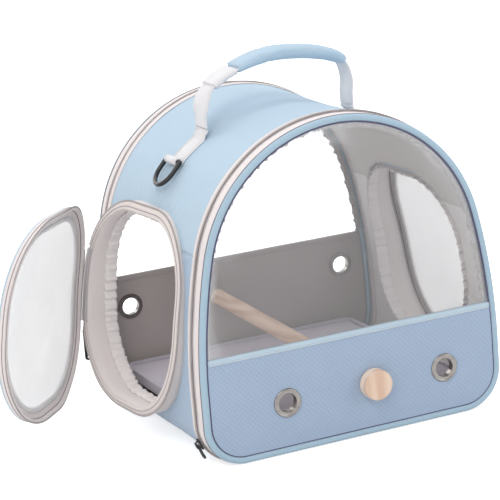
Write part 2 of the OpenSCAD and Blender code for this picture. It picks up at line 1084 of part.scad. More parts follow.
module handle_grip() {
    rings = [for (i = [0:grip_rings]) grip_ring(i / grip_rings)];
    m = grip_sides;
    last = grip_rings * m;
    color(cloth_top)
        difference() {
            translate([0, 0, pivot_z])
                face_frame()
                    polyhedron(
                        points = [for (ring = rings, p = ring) p],
                        faces = concat(
                            [
                                for (i = [0:grip_rings - 1], j = [0:m - 1])
                                    each [
                                        [i * m + j, i * m + (j + 1) % m, (i + 1) * m + j],
                                        [i * m + (j + 1) % m, (i + 1) * m + (j + 1) % m, (i + 1) * m + j]
                                    ]
                            ],
                            [[for (j = [m - 1:-1:0]) j]],
                            [[for (j = [0:m - 1]) last + j]]
                        )
                    );
            ribbon(0, route_n, web_t + 0.2, web_w + 0.4, 60);
        }
}

// Loop of webbing that holds the end of the grip to the strap.
module handle_keeper() {
    color(web_c)
        difference() {
            ribbon(2.2, 3.75, web_t + 4.4, web_w + 4, 12);
            ribbon(2.1, 3.85, web_t + 0.4, web_w + 0.6, 14);
        }
}

// ---- Tray ----

module rounded_plate(w, d, r, h) {
    linear_extrude(h) {
        translate([-w / 2 + r, -d / 2]) square([w - 2 * r, d]);
        translate([-w / 2, -d / 2 + r]) square([w, d - 2 * r]);
        for (sx = [-1, 1], sy = [-1, 1])
            translate([sx * (w / 2 - r), sy * (d / 2 - r)]) circle(r);
    }
}

module tray() {
    foot_low = board_top + gap;
    r = 12;
    color(tray_c)
        translate([-tray_x, 0, 0]) {
            difference() {
                translate([0, 0, tray_z - tray_h]) rounded_plate(tray_w, tray_d, r, tray_h);
                translate([0, 0, tray_z - tray_h + tray_wall])
                    rounded_plate(tray_w - 2 * tray_wall, tray_d - 2 * tray_wall, r - tray_wall, tray_h);
            }
            for (sx = [-1, 1], sy = [-1, 1])
                translate([sx * (tray_w / 2 - 40), sy * (tray_d / 2 - 30), foot_low])
                    cylinder(h = tray_z - tray_h - foot_low, r1 = 7, r2 = 9);
        }
}

module tray_mat() {
    inner = tray_wall + 0.4;
    color(tray_c)
        translate([-tray_x, 0, tray_z - tray_h + tray_wall])
            rounded_plate(tray_w - 2 * inner, tray_d - 2 * inner, 12 - inner, tray_h - tray_wall - 1.2);
}

roof_cover();
roof_lining();
left_wall_cover();
left_wall_lining();
right_wall_cover();
right_wall_lining();
base_cover();
base_board();
front_zip_track();
back_zip_track();
left_door_ring();
left_ring_gather();
right_door_ring();
right_ring_gather();
left_hinge_tape();
right_hinge_tape();
left_strap();
right_strap();
front_piping();
front_arch_wire();
front_panel_cover();
front_panel_board();
front_panel_lining();
front_window();
front_window_binding();
front_rim_tape();
front_eyelets();
perch();
perch_bolt();
perch_washer();
knob();
back_piping();
back_arch_wire();
back_panel_cover();
back_panel_board();
back_panel_lining();
back_window();
back_window_binding();
back_rim_tape();
back_eyelets();
left_door_rim();
left_door_window();
right_door_rim();
right_door_window();
left_d_ring();
right_d_ring();
handle_webbing();
handle_grip();
handle_keeper();
tray();
tray_mat();
front_slider();
front_pull();
back_slider();
back_pull();
left_door_slider();
left_door_pull();
right_door_slider();
right_door_pull();
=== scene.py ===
import random
from math import asin, atan2, copysign, cos, exp, hypot, pi, radians, sin, sqrt, tan

import bmesh
import bpy
import numpy as np
from mathutils import Matrix, Vector


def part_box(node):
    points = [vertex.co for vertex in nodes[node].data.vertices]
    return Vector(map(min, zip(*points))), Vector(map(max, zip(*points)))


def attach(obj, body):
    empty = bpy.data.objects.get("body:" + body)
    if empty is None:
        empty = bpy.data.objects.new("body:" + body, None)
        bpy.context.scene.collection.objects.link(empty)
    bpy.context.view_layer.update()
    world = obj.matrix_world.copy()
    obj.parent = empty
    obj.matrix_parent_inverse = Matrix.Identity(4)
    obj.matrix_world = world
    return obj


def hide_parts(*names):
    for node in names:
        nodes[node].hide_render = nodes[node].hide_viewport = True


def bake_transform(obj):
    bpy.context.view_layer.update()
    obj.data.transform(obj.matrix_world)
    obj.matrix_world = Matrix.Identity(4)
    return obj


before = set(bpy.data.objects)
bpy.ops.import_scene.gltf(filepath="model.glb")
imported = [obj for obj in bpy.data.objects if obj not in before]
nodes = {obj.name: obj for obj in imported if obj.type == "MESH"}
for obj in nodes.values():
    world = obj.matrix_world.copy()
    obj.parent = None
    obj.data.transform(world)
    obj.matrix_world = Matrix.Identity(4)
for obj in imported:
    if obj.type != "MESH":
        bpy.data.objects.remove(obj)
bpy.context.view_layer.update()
mm = 0.001
print("frame loaded,", len(nodes), "nodes")

# camera of the photograph
view = {"lens": 146.917, "yaw": 23.7, "pitch": 14.06, "roll": -4.79, "distance": 1.91458,
        "target": (-0.03534, 0.004, 0.15561)}


def addObject(name, data):
    obj = bpy.data.objects.new(name, data)
    bpy.context.scene.collection.objects.link(obj)
    return obj


def finalMesh(obj):
    # the mesh after the modifiers
    return bpy.data.meshes.new_from_object(obj.evaluated_get(bpy.context.evaluated_depsgraph_get()))


def makeCamera(v):
    yaw, pitch, roll = (radians(v[k]) for k in ("yaw", "pitch", "roll"))
    ahead = Vector((sin(yaw) * cos(pitch), cos(yaw) * cos(pitch), -sin(pitch)))
    right = Vector((cos(yaw), -sin(yaw), 0))
    up = right.cross(ahead)
    rightRolled = right * cos(roll) + up * sin(roll)
    upRolled = up * cos(roll) - right * sin(roll)
    turn = Matrix((rightRolled, upRolled, -ahead)).transposed().to_4x4()
    data = bpy.data.cameras.new("photoCamera")
    data.lens = v["lens"]
    data.sensor_width = 36
    data.clip_end = 50
    cam = addObject("photoCamera", data)
    cam.matrix_world = Matrix.Translation(Vector(v["target"]) - ahead * v["distance"]) @ turn
    bpy.context.scene.camera = cam


makeCamera(view)

# materials


def srgb(r, g, b):
    out = []
    for c in (r, g, b):
        c = c / 255
        out.append(c / 12.92 if c <= 0.04045 else ((c + 0.055) / 1.055) ** 2.4)
    return (*out, 1)


def startMaterial(name):
    mat = bpy.data.materials.new(name)
    mat.use_nodes = True
    tree = mat.node_tree
    tree.nodes.clear()
    shader = tree.nodes.new("ShaderNodeBsdfPrincipled")
    out = tree.nodes.new("ShaderNodeOutputMaterial")
    tree.links.new(shader.outputs[0], out.inputs[0])
    return mat, tree, shader


def plug(tree, node, inputs):
    # each input gets a link or a plain value
    for key, value in inputs.items():
        if isinstance(value, bpy.types.NodeSocket):
            tree.links.new(value, node.inputs[key])
        else:
            node.inputs[key].default_value = value


def put(tree, kind, inputs=None, **settings):
    node = tree.nodes.new(kind)
    for key, value in settings.items():
        setattr(node, key, value)
    plug(tree, node, inputs or {})
    return node


def maths(tree, how, a, b=0.0, c=0.0):
    return put(tree, "ShaderNodeMath", {0: a, 1: b, 2: c}, operation=how).outputs[0]


def clamped(tree, value):
    return put(tree, "ShaderNodeClamp", {0: value}).outputs[0]


def blendColour(tree, factor, a, b):
    return put(tree, "ShaderNodeMix", {0: factor, 6: a, 7: b}, data_type="RGBA").outputs[2]


def objectPlace(tree):
    return put(tree, "ShaderNodeTexCoord").outputs["Object"]


def noise(tree, spot, scale, detail, **more):
    inputs = {"Vector": spot, "Scale": scale, "Detail": detail, **more}
    return put(tree, "ShaderNodeTexNoise", inputs).outputs[0]


def bumped(tree, strength, distance, height):
    inputs = {"Strength": strength, "Distance": distance, "Height": height}
    return put(tree, "ShaderNodeBump", inputs).outputs[0]


def clothMaterial(name, colour, shade, pitch=0.0011, rough=0.85, bump=0.35, useUv=True, fleck=0.35,
                  plain=False, contrast=0.22):
    # a weave of the given pitch whose hollows are painted darker, painted shade, with flecks of thread and
    # patches of lighter and darker tone
    mat, tree, shader = startMaterial(name)
    spot = objectPlace(tree)
    place = put(tree, "ShaderNodeUVMap", uv_map="cloth").outputs[0] if useUv else spot
    cut = put(tree, "ShaderNodeSeparateXYZ", {0: place})
    turns = [maths(tree, "MULTIPLY", cut.outputs[k], 2 * pi / pitch) for k in (0, 1)]
    warp, weft = (maths(tree, "SINE", turn) for turn in turns)
    weave = maths(tree, "MULTIPLY", weft, 0.8) if plain else maths(tree, "MULTIPLY", warp, weft)
    threads = noise(tree, spot, 900.0, 2.0)
    patches = noise(tree, spot, 22.0, 4.0, Roughness=0.6)
    # the weave's hollows and the low threads take the darker colour: painted shade
    mixed = maths(tree, "MULTIPLY_ADD", weave, contrast, 0.5)
    mixed = maths(tree, "MULTIPLY_ADD", threads, fleck, mixed)
    mixed = maths(tree, "ADD", mixed, -fleck / 2)
    mixed = maths(tree, "MULTIPLY_ADD", patches, 0.3, mixed)
    mixed = clamped(tree, maths(tree, "ADD", mixed, -0.15))
    height = maths(tree, "MULTIPLY_ADD", threads, 0.4, weave)
    plug(tree, shader, {
        "Base Color": blendColour(tree, mixed, shade, colour),
        "Roughness": maths(tree, "MULTIPLY_ADD", patches, 0.12, rough - 0.06),
        "Normal": bumped(tree, bump, 0.0003, height),
        "Sheen Weight": 0.25,
        "Sheen Roughness": 0.5,
        "Specular IOR Level": 0.3,
    })
    return mat


def smoothMaterial(name, colour, shade, rough=0.4, metal=0.0, scale=60.0, bump=0.05, grain=200.0, coat=0.0):
    mat, tree, shader = startMaterial(name)
    spot = objectPlace(tree)
    patches = noise(tree, spot, scale, 4.0)
    plug(tree, shader, {
        "Base Color": blendColour(tree, patches, shade, colour),
        "Roughness": maths(tree, "MULTIPLY_ADD", patches, 0.2, rough - 0.1),
        "Normal": bumped(tree, bump, 0.0005, noise(tree, spot, grain, 3.0)),
        "Metallic": metal,
        "Coat Weight": coat,
    })
    return mat


def filmMaterial(name, colour, seeThrough, rough, haze, rim, paintedGlare):
    # haze clouds the film, rim clouds it near its edge, and glare is a broken band of painted gloss beside
    # the edge, where the white film turns more opaque
    mat, tree, shader = startMaterial(name)
    spot = objectPlace(tree)
    ripple = noise(tree, spot, 9.0, 2.0, Distortion=0.6)
    drift = noise(tree, spot, 7.0, 2.0, Distortion=0.8)
    edge = put(tree, "ShaderNodeLayerWeight", {"Blend": 0.25})
    near = put(tree, "ShaderNodeAttribute", attribute_name="nearEdge").outputs["Fac"]
    # the white film turns more opaque at grazing angles: painted reflection
    cover = maths(tree, "MULTIPLY_ADD", edge.outputs["Fresnel"], 0.4, 1 - seeThrough)
    cover = maths(tree, "MULTIPLY_ADD", ripple, haze, cover)
    cover = maths(tree, "MULTIPLY_ADD", near, rim, cover)
    band = maths(tree, "ABSOLUTE", maths(tree, "SUBTRACT", near, 0.14))
    band = clamped(tree, maths(tree, "MULTIPLY_ADD", band, -15.0, 1.0))
    # white streaks of painted gloss in the band
    paintedGloss = put(tree, "ShaderNodeMapRange", {0: drift, 1: 0.42, 2: 0.7, 3: 0.0, 4: paintedGlare}).outputs[0]
    cover = maths(tree, "MULTIPLY_ADD", band, paintedGloss, cover)
    plug(tree, shader, {
        "Alpha": clamped(tree, cover),
        "Normal": bumped(tree, 0.2, 0.002, ripple),
        "Base Color": colour,
        "Roughness": rough,
        "Specular IOR Level": 1.0,
    })
    return mat


def woodMaterial(name, light, dark, axis, pitch=0.0016):
    mat, tree, shader = startMaterial(name)
    stretch = tuple(0.06 if k == axis else 1.0 for k in range(3))
    spot = put(tree, "ShaderNodeMapping", {"Vector": objectPlace(tree), "Scale": stretch}).outputs[0]
    wander = noise(tree, spot, 120.0, 5.0, Roughness=0.65)
    rings = put(tree, "ShaderNodeTexWave", {"Vector": spot, "Scale": 0.05 / pitch, "Distortion": 6.0,
                                            "Detail": 3.0, "Detail Scale": 1.5}, wave_type="RINGS")
    both = maths(tree, "MULTIPLY", rings.outputs["Fac"], 0.5)
    both = maths(tree, "MULTIPLY_ADD", wander, 0.7, both)
    ramp = put(tree, "ShaderNodeValToRGB", {0: both})
    for stop, place, tint in zip(ramp.color_ramp.elements, (0.2, 0.75), (dark, light)):
        stop.position = place
        stop.color = tint
    plug(tree, shader, {
        "Base Color": ramp.outputs[0],
        "Normal": bumped(tree, 0.25, 0.0004, both),
        "Roughness": 0.55,
    })
    return mat


# key, name, light colour, dark colour, settings
cloths = [
    # the roof's cloth is the walls' cloth painted lighter: painted light falling on the top, also used on the
    # handle's grip
    ("top", "topCloth", (190, 212, 228), (168, 192, 210), {}),
    ("side", "sideCloth", (182, 202, 222), (157, 177, 200), {}),
    ("front", "frontCloth", (178, 195, 216), (142, 160, 184),
     {"pitch": 0.0048, "bump": 0.3, "contrast": 0.13}),
    ("piping", "pipingCloth", (184, 208, 222), (148, 174, 192), {"pitch": 0.0008, "bump": 0.25}),
    ("binding", "bindingTape", (202, 219, 230), (170, 190, 204), {"pitch": 0.0008, "bump": 0.25}),
    ("tape", "zipTape", (244, 237, 235), (224, 214, 212), {"pitch": 0.0009, "bump": 0.3}),
    ("ring", "ringTape", (236, 227, 223), (208, 197, 192), {"pitch": 0.0012, "bump": 0.4, "plain": True}),
    # thin dark cords for the shade in the tapes' folds, grooves and seams: painted shade
    ("fold", "foldLine", (158, 150, 156), (126, 118, 126), {"pitch": 0.0008, "bump": 0.2}),
    ("hinge", "hingeTape", (206, 200, 201), (174, 168, 170), {"pitch": 0.0012, "bump": 0.3}),
    ("lining", "greyLining", (202, 194, 191), (166, 158, 156), {"pitch": 0.0009, "bump": 0.3}),
    # the wall lining is painted near white, painted light for the light coming through the walls
    ("sideLining", "sideLining", (250, 247, 245), (226, 221, 219), {"pitch": 0.0011, "bump": 0.4}),
    # the roof lining is painted darker than the walls' lining, painted shade under the roof
    ("roofLining", "roofLining", (228, 223, 219), (196, 191, 188), {"pitch": 0.0009, "bump": 0.3}),
    ("boardLining", "boardLining", (150, 143, 141), (116, 109, 108), {"pitch": 0.0012, "useUv": False}),
    ("gather", "gatherSatin", (250, 245, 243), (222, 214, 213),
     {"pitch": 0.0006, "rough": 0.6, "bump": 0.15, "fleck": 0.1}),
    ("webbing", "webbing", (246, 245, 246), (216, 213, 215), {"pitch": 0.0016, "bump": 0.6, "plain": True}),
    ("mat", "trayMat", (224, 218, 228), (198, 191, 204), {"pitch": 0.0016, "bump": 0.4}),
    # dark purple cord inside the piping: partly the film's own edge, partly painted shadow
    ("seam", "seamCord", (104, 100, 130), (74, 71, 98), {"pitch": 0.0006, "bump": 0.2}),
]
hardFinishes = [
    ("teeth", "zipTeeth", (198, 190, 188), (160, 152, 151), {"rough": 0.35}),
    ("thread", "thread", (246, 244, 240), (220, 214, 210), {"rough": 0.7}),
    ("nickel", "nickel", (158, 154, 150), (116, 112, 109), {"rough": 0.24, "metal": 1.0, "scale": 180.0}),
    ("steel", "steel", (176, 176, 178), (140, 140, 142), {"rough": 0.3, "metal": 1.0}),
    ("blackMetal", "blackMetal", (36, 35, 38), (20, 19, 22), {"rough": 0.34, "metal": 0.3, "coat": 0.2}),
    ("rubber", "rubberPull", (32, 31, 33), (20, 19, 21), {"rough": 0.6}),
    ("board", "stiffener", (222, 222, 224), (204, 204, 208), {"rough": 0.5}),
    ("tray", "trayPlastic", (216, 212, 220), (198, 193, 203), {"rough": 0.42, "bump": 0.12, "grain": 900.0}),
]
finish = {}
for make, table in ((clothMaterial, cloths), (smoothMaterial, hardFinishes)):
    for key, name, light, dark, settings in table:
        finish[key] = make(name, srgb(*light), srgb(*dark), **settings)
# the clear film's last value is the strength of its painted gloss streaks
finish["clear"] = filmMaterial("clearFilm", srgb(246, 248, 250), 0.965, 0.05, 0.03, 0.4, 0.3)
finish["frosted"] = filmMaterial("frostedFilm", srgb(248, 248, 248), 0.82, 0.3, 0.16, 0.3, 0.0)
finish["perchWood"] = woodMaterial("perchWood", srgb(236, 210, 190), srgb(212, 180, 156), 1)
finish["knobWood"] = woodMaterial("knobWood", srgb(240, 218, 198), srgb(206, 168, 142), 2, 0.0022)
print("materials made,", len(finish))

# the carrier's arch, in millimetres

halfWide = 150.0
archTall = 296.0
springZ = 64.0
lean = radians(13)
cornerR = 38.0
zipY = 110.0
pipeY = 125.9
pipeR = 3.1
gap = 0.3
zipEnd = radians(65)
leanTan = tan(lean / 2)
crownR = (halfWide - (archTall - springZ) * leanTan) / (1 - leanTan)
crownZ = archTall - crownR
sideR = (halfWide - crownR * cos(lean)) / (1 - cos(lean))
sideX = halfWide - sideR
crownEnd = crownR * (pi / 2 - lean)
sideEnd = crownEnd + sideR * lean
straightEnd = sideEnd + springZ - cornerR
cornerEnd = straightEnd + cornerR * pi / 2
floorMid = cornerEnd + halfWide - cornerR
zipStop = straightEnd + cornerR * zipEnd


def archAt(s):
    # point and outward normal at a distance s along the arch from its top, positive to the right
    a, side = abs(s), (1 if s >= 0 else -1)
    if a <= crownEnd:
        t = a / crownR
        x, z, nx, nz = crownR * sin(t), crownZ + crownR * cos(t), sin(t), cos(t)
    elif a <= sideEnd:
        t = lean - (a - crownEnd) / sideR
        x, z, nx, nz = sideX + sideR * cos(t), springZ + sideR * sin(t), cos(t), sin(t)
    elif a <= straightEnd:
        x, z, nx, nz = halfWide, springZ - (a - sideEnd), 1.0, 0.0
    elif a <= cornerEnd:
        t = (a - straightEnd) / cornerR
        x = halfWide - cornerR + cornerR * cos(t)
        z, nx, nz = cornerR - cornerR * sin(t), cos(t), -sin(t)
    else:
        x, z, nx, nz = halfWide - cornerR - (a - cornerEnd), 0.0, 0.0, -1.0
    return side * x, z, side * nx, nz


def wallX(z, u):
    # distance of the side wall from the middle at height z, on a line u outside the arch
    if z < cornerR:
        return halfWide - cornerR + sqrt(max((cornerR + u) ** 2 - (cornerR - z) ** 2, 0))
    if z < springZ:
        return halfWide + u
    if z < springZ + (sideR + u) * sin(lean):
        return sideX + sqrt((sideR + u) ** 2 - (z - springZ) ** 2)
    return sqrt(max((crownR + u) ** 2 - (z - crownZ) ** 2, 0))


# the doors, in millimetres, drawn on the right-hand side

frontGap = 9.5
backGap = 3.0
doorTall = 191.0
doorLow = 25.0
doorR = 72.0
lowDoorR = 92.0
ringTop = 7.5
rimH = 6.0
openTurn = radians(45)
hingeLow = 92.0
hingeTall = 71.0
tapeEdge = zipY - gap / 2 - 8.0
doorWide = 2 * tapeEdge - frontGap - backGap
doorMidY = (frontGap - backGap) / 2
doorMidZ = doorLow + doorTall / 2
hingeX = halfWide + ringTop + gap / 2
hingeY = doorMidY + doorWide / 2 + 2.0
leanTurn = Matrix.Rotation(-radians(5), 3, "Z") @ Matrix.Rotation(-radians(3.6), 3, "Y")
leanMid = Vector((halfWide, doorMidY - doorWide / 2, doorMidZ))


def leaned(p):
    # the ring and the door lean together against the right-hand wall
    return tuple(leanTurn @ (Vector(p) - leanMid) + leanMid)


def upright(p):
    return tuple(leanTurn.transposed() @ (Vector(p) - leanMid) + leanMid)


def wallUnder(y, z):
    # height on the leaning frame at which the wall lies, at y and z of the outline
    def miss(u):
        p = leaned((wallX(z, u), y, z))
        return p[0] - wallX(p[2], 0)

    u, step = 0.0, 0.5
    for k in range(8):
        here = miss(u)
        u -= here * step / (miss(u + step) - here)
    return u


def doorLine(inset, step=2.5):
    # closed rounded outline as y, z and the way inwards, from the middle of the back edge upwards
    hw, hh = doorWide / 2 - inset, doorTall / 2 - inset
    big, small = lowDoorR - inset, doorR - inset
    out = []

    def straight(y0, z0, y1, z1, ny, nz):
        n = max(2, int(hypot(y1 - y0, z1 - z0) / step + 0.5))
        out.extend((y0 + (y1 - y0) * k / n, z0 + (z1 - z0) * k / n, ny, nz) for k in range(n))

    def bend(sy, sz, r, start):
        cy, cz = sy * (hw - r), sz * (hh - r)
        n = int((r + inset) * pi / 2 / step + 0.5)
        for k in range(n):
            a = start + pi / 2 * k / n
            out.append((cy + r * cos(a), cz + r * sin(a), -cos(a), -sin(a)))

    straight(hw, 0, hw, hh - small, -1, 0)
    bend(1, 1, small, 0)
    straight(hw - small, hh, small - hw, hh, 0, -1)
    bend(-1, 1, small, pi / 2)
    straight(-hw, hh - small, -hw, big - hh, 1, 0)
    bend(-1, -1, big, pi)
    straight(big - hw, -hh, hw - small, -hh, 0, 1)
    bend(1, -1, small, 1.5 * pi)
    straight(hw, small - hh, hw, 0, -1, 0)
    return [(doorMidY + y, doorMidZ + z, a, b) for y, z, a, b in out]


def outsideDoor(y, z):
    # signed distance from the door's outline, positive outside it
    dy, dz = y - doorMidY, z - doorMidZ
    r = lowDoorR if dy < 0 and dz < 0 else doorR
    dy, dz = abs(dy) - (doorWide / 2 - r), abs(dz) - (doorTall / 2 - r)
    return hypot(max(dy, 0), max(dz, 0)) + min(max(dy, dz), 0) - r


def outsideHole(x, y, z):
    # the same for a point of the wall's cloth
    p = upright((abs(x), y, z))
    return outsideDoor(p[1], p[2])


random.seed(11)
foldRanges = ((0.5, 1.0), (14, 60), (20, 90), (0, 6.28), (0, 6.28))
folds = [tuple(random.uniform(*span) for span in foldRanges) for k in range(9)]


def rumple(a, b, size=1.0):
    return size * sum(w * sin(a / p + f) * sin(b / q + g) for w, p, q, f, g in folds) / 3


def smoothStep(low, high, v):
    t = min(1, max(0, (v - low) / (high - low)))
    return t * t * (3 - 2 * t)


roofSag = 2.8
roofReach = 150
wallSag = 1.2
strapPull = 3.0
strapAt = 118.0
wrinkle = 0.5
pucker = 0.35
puckerCount = 64
seamDip = 0.9
clothHalf = 109.5
clothEnd = 111.5


def clothDrop(s, y):
    # how far the outer cloth lies inside the arch
    edge = 1 - min(1, abs(y) / clothHalf) ** 2
    x, z = archAt(s)[:2]
    nearDoor = outsideHole(x, y, z)
    calm = smoothStep(2, 26, nearDoor)
    roof = smoothStep(roofReach, 60, abs(s))
    drop = roofSag * edge * roof if abs(s) < roofReach else 0
    drop -= strapPull * edge * exp(-((abs(s) - strapAt) / 16) ** 2) * roof
    drop = max(drop, 0)
    drop += wallSag * edge * smoothStep(60, roofReach, abs(s)) * calm
    drop -= wrinkle * rumple(s * 1.3, y, 1) * edge * (0.3 + 0.7 * calm)
    turn = atan2(z - doorMidZ, y - doorMidY)
    drop += pucker * sin(puckerCount * turn) * exp(-((nearDoor - 7) / 8) ** 2)
    drop += seamDip * exp(-((abs(s) - crownEnd) / 1.6) ** 2) * edge
    return max(drop, -0.4) * smoothStep(0, 8, clothEnd - abs(y))


# mesh helpers


def link(name, mesh, mat):
    obj = addObject(name, mesh)
    if mat:
        mesh.materials.clear()
        mesh.materials.append(finish[mat])
    for p in mesh.polygons:
        p.use_smooth = True
    return obj


def replaceNode(obj, body, slot, *names):
    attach(obj, body)
    if names:
        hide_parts(*names)


def paintNode(name, mat):
    obj = nodes[name]
    obj.data.materials.clear()
    obj.data.materials.append(finish[mat])


def makeShell(name, outer, inner=None, keep=None, wrapI=False, wrapJ=False, uv=None, mat=None,
              caps=False, weld=0.0):
    # a sheet, or with inner or wrapJ a closed shell, from a grid of points in millimetres
    outer = np.asarray(outer, float)
    ni, nj = outer.shape[:2]
    ci, cj = (ni if wrapI else ni - 1), (nj if wrapJ else nj - 1)
    if keep is None:
        keep = np.ones((ci, cj), bool)
    size = ni * nj

    def at(i, j, layer=0):
        return (i % ni) * nj + j % nj + layer * size

    faces, corners = [], []
    for i, j in np.argwhere(keep):
        quad = [(i, j), (i + 1, j), (i + 1, j + 1), (i, j + 1)]
        faces.append([at(a, b) for a, b in quad])
        corners.append(quad)
        if inner is None:
            continue
        faces.append([at(a, b, 1) for a, b in quad[::-1]])
        corners.append(quad[::-1])
        beside = [(i, j - 1), (i + 1, j), (i, j + 1), (i - 1, j)]
        for k, (a, b) in enumerate(beside):
            if wrapI:
                a %= ci
            if wrapJ:
                b %= cj
            if 0 <= a < ci and 0 <= b < cj and keep[a, b]:
                continue
            p, q = quad[k], quad[(k + 1) % 4]
            faces.append([at(*q), at(*p), at(*p, 1), at(*q, 1)])
            corners.append([q, p, p, q])
    if caps:
        faces.append([at(0, j) for j in range(nj)][::-1])
        corners.append([(0, j) for j in range(nj)][::-1])
        faces.append([at(ni - 1, j) for j in range(nj)])
        corners.append([(ni - 1, j) for j in range(nj)])
    points = outer.reshape(-1, 3)
    if inner is not None:
        points = np.vstack([points, np.asarray(inner, float).reshape(-1, 3)])
    mesh = bpy.data.meshes.new(name)
    mesh.from_pydata((points * mm).tolist(), [], faces)
    if uv is not None:
        uv = np.asarray(uv, float)
        layer = mesh.uv_layers.new(name="cloth")
        flat = [uv[min(a, uv.shape[0] - 1), min(b, uv.shape[1] - 1)] for quad in corners for a, b in quad]
        layer.data.foreach_set("uv", (np.array(flat) * mm).ravel())
    bm = bmesh.new()
    bm.from_mesh(mesh)
    loose = [v for v in bm.verts if not v.link_faces]
    bmesh.ops.delete(bm, geom=loose, context="VERTS")
    if weld:
        bmesh.ops.remove_doubles(bm, verts=bm.verts, dist=weld * mm)
    if inner is not None or wrapJ:
        bmesh.ops.recalc_face_normals(bm, faces=bm.faces)
    bm.to_mesh(mesh)
    bm.free()
    return link(name, mesh, mat)


def markEdge(obj, nearness):
    # how near each point of a film lies to the film's edge, from 0 to 1
    layer = obj.data.attributes.new("nearEdge", "FLOAT", "POINT")
    layer.data.foreach_set("value", [nearness(*(c / mm for c in v.co)) for v in obj.data.vertices])


def gridUv(us, vs):
    return [[(u, v) for v in vs] for u in us]


def spread(a, b, n):
    # n equal steps from a to b, with both ends
    return [a + (b - a) * k / n for k in range(n + 1)]


def pathLengths(points):
    run = [0.0]
    for a, b in zip(points, points[1:]):
        run.append(run[-1] + hypot(b[0] - a[0], b[1] - a[1]))
    return run


def tube(name, rows, us, vs, mat, body, slot, *names):
    # one closed section to a row, with capped ends
    obj = makeShell(name, rows, wrapJ=True, uv=gridUv(us, vs), mat=mat, caps=True)
    replaceNode(obj, body, slot, *names)


def sweepArch(name, profile, s0, s1, back, mat, body, slot, *names, closed=False, step=3.0, wobble=0.0):
    # profile: distance outside the arch, and distance from the middle towards the panel
    way = 1 if back else -1
    ends = spread(s0, s1, int((s1 - s0) / step))
    rows = []
    for s in ends[:-1] if closed else ends:
        x, z, nx, nz = archAt(s)
        row = []
        for u, v in profile:
            u += wobble * rumple(s * 2.1, v * 3)
            row.append((x + u * nx, way * v, z + u * nz))
        rows.append(row)
    uv = gridUv(ends, pathLengths(profile + profile[:1]))
    obj = makeShell(name, rows, wrapI=closed, wrapJ=True, uv=uv, mat=mat, caps=not closed)
    replaceNode(obj, body, slot, *names)


def circleProfile(u, v, r, n):
    return [(u + r * cos(2 * pi * k / n), v + r * sin(2 * pi * k / n)) for k in range(n)]


def doorPoint(side, y, z, u, moving=False):
    # the left door stands open about its hinge line
    x = wallX(z, u)
    if moving and side < 0:
        dx, dy = x - hingeX, y - hingeY
        x = hingeX + dx * cos(openTurn) - dy * sin(openTurn)
        y = hingeY + dx * sin(openTurn) + dy * cos(openTurn)
    p = leaned((x, y, z))
    return side * p[0], p[1], p[2]


def sweepDoor(name, side, profile, mat, body, slot, *names, moving=False, flutter=None, step=2.5):
    # profile: distance inwards, share of the way from the wall to the ring's top, and height added
    line = doorLine(0, step)
    rows = []
    for k, (y, z, iy, iz) in enumerate(line):
        row = []
        under = wallUnder(y, z)
        for w, part, h in profile:
            w += flutter(k, part) if flutter else 0.0
            u = under * (1 - part) + ringTop * part + h
            row.append(doorPoint(side, y + iy * w, z + iz * w, u, moving))
        rows.append(row)
    around = pathLengths([(w, h + 7 * part) for w, part, h in profile + profile[:1]])
    uv = gridUv(pathLengths(line + line[:1]), around)
    obj = makeShell(name, rows, wrapI=True, wrapJ=True, uv=uv, mat=mat)
    replaceNode(obj, body, slot, *names)


# rows of teeth and stitches


def rowTree(name, head):
    # geometry nodes that set a tooth with its stem, or else a stitch, at even steps along a path
    tree = bpy.data.node_groups.new(name, "GeometryNodeTree")
    sockets = [("Geometry", "INPUT", "Geometry")]
    sockets += [(label, "INPUT", "Float") for label in ("Pitch", "Length", "Width", "Height")]
    sockets += [("Material", "INPUT", "Material"), ("Geometry", "OUTPUT", "Geometry")]
    for label, way, kind in sockets:
        tree.interface.new_socket(name=label, in_out=way, socket_type="NodeSocket" + kind)
    given = tree.nodes.new("NodeGroupInput").outputs
    result = tree.nodes.new("NodeGroupOutput")
    curve = put(tree, "GeometryNodeMeshToCurve", {"Mesh": given["Geometry"]}).outputs[0]
    even = put(tree, "GeometryNodeResampleCurve", {"Curve": curve, "Length": given["Pitch"]}, mode="LENGTH")
    up = put(tree, "GeometryNodeInputNamedAttribute", {"Name": "up"}, data_type="FLOAT_VECTOR").outputs[0]
    ahead = tree.nodes.new("GeometryNodeInputTangent").outputs[0]
    align = "FunctionNodeAlignRotationToVector"
    first = put(tree, align, {"Vector": ahead}, axis="X").outputs[0]
    both = put(tree, align, {"Rotation": first, "Vector": up}, axis="Z", pivot_axis="X").outputs[0]
    if head:
        sides = {0: given["Length"], 1: given["Width"], 2: given["Height"]}
        size = put(tree, "ShaderNodeCombineXYZ", sides).outputs[0]
        tooth = put(tree, "GeometryNodeMeshCube", {"Size": size}).outputs[0]
        neck = put(tree, "ShaderNodeVectorMath", {0: size, 1: (0.55, 1.5, 0.7)}, operation="MULTIPLY")
        stem = put(tree, "GeometryNodeMeshCube", {"Size": neck.outputs[0]}).outputs[0]
        item = put(tree, "GeometryNodeJoinGeometry", {0: stem})
        tree.links.new(tooth, item.inputs[0])
    else:
        rod = {"Vertices": 6, "Side Segments": 3, "Radius": given["Width"], "Depth": given["Length"]}
        rod = put(tree, "GeometryNodeMeshCylinder", rod).outputs[0]
        item = put(tree, "GeometryNodeTransform", {"Geometry": rod, "Rotation": (0, pi / 2, 0)})
    placed = {"Points": even.outputs[0], "Instance": item.outputs[0], "Rotation": both}
    rows = put(tree, "GeometryNodeInstanceOnPoints", placed).outputs[0]
    real = put(tree, "GeometryNodeRealizeInstances", {"Geometry": rows}).outputs[0]
    painted = put(tree, "GeometryNodeSetMaterial", {"Geometry": real, "Material": given["Material"]})
    tree.links.new(painted.outputs[0], result.inputs[0])
    return tree


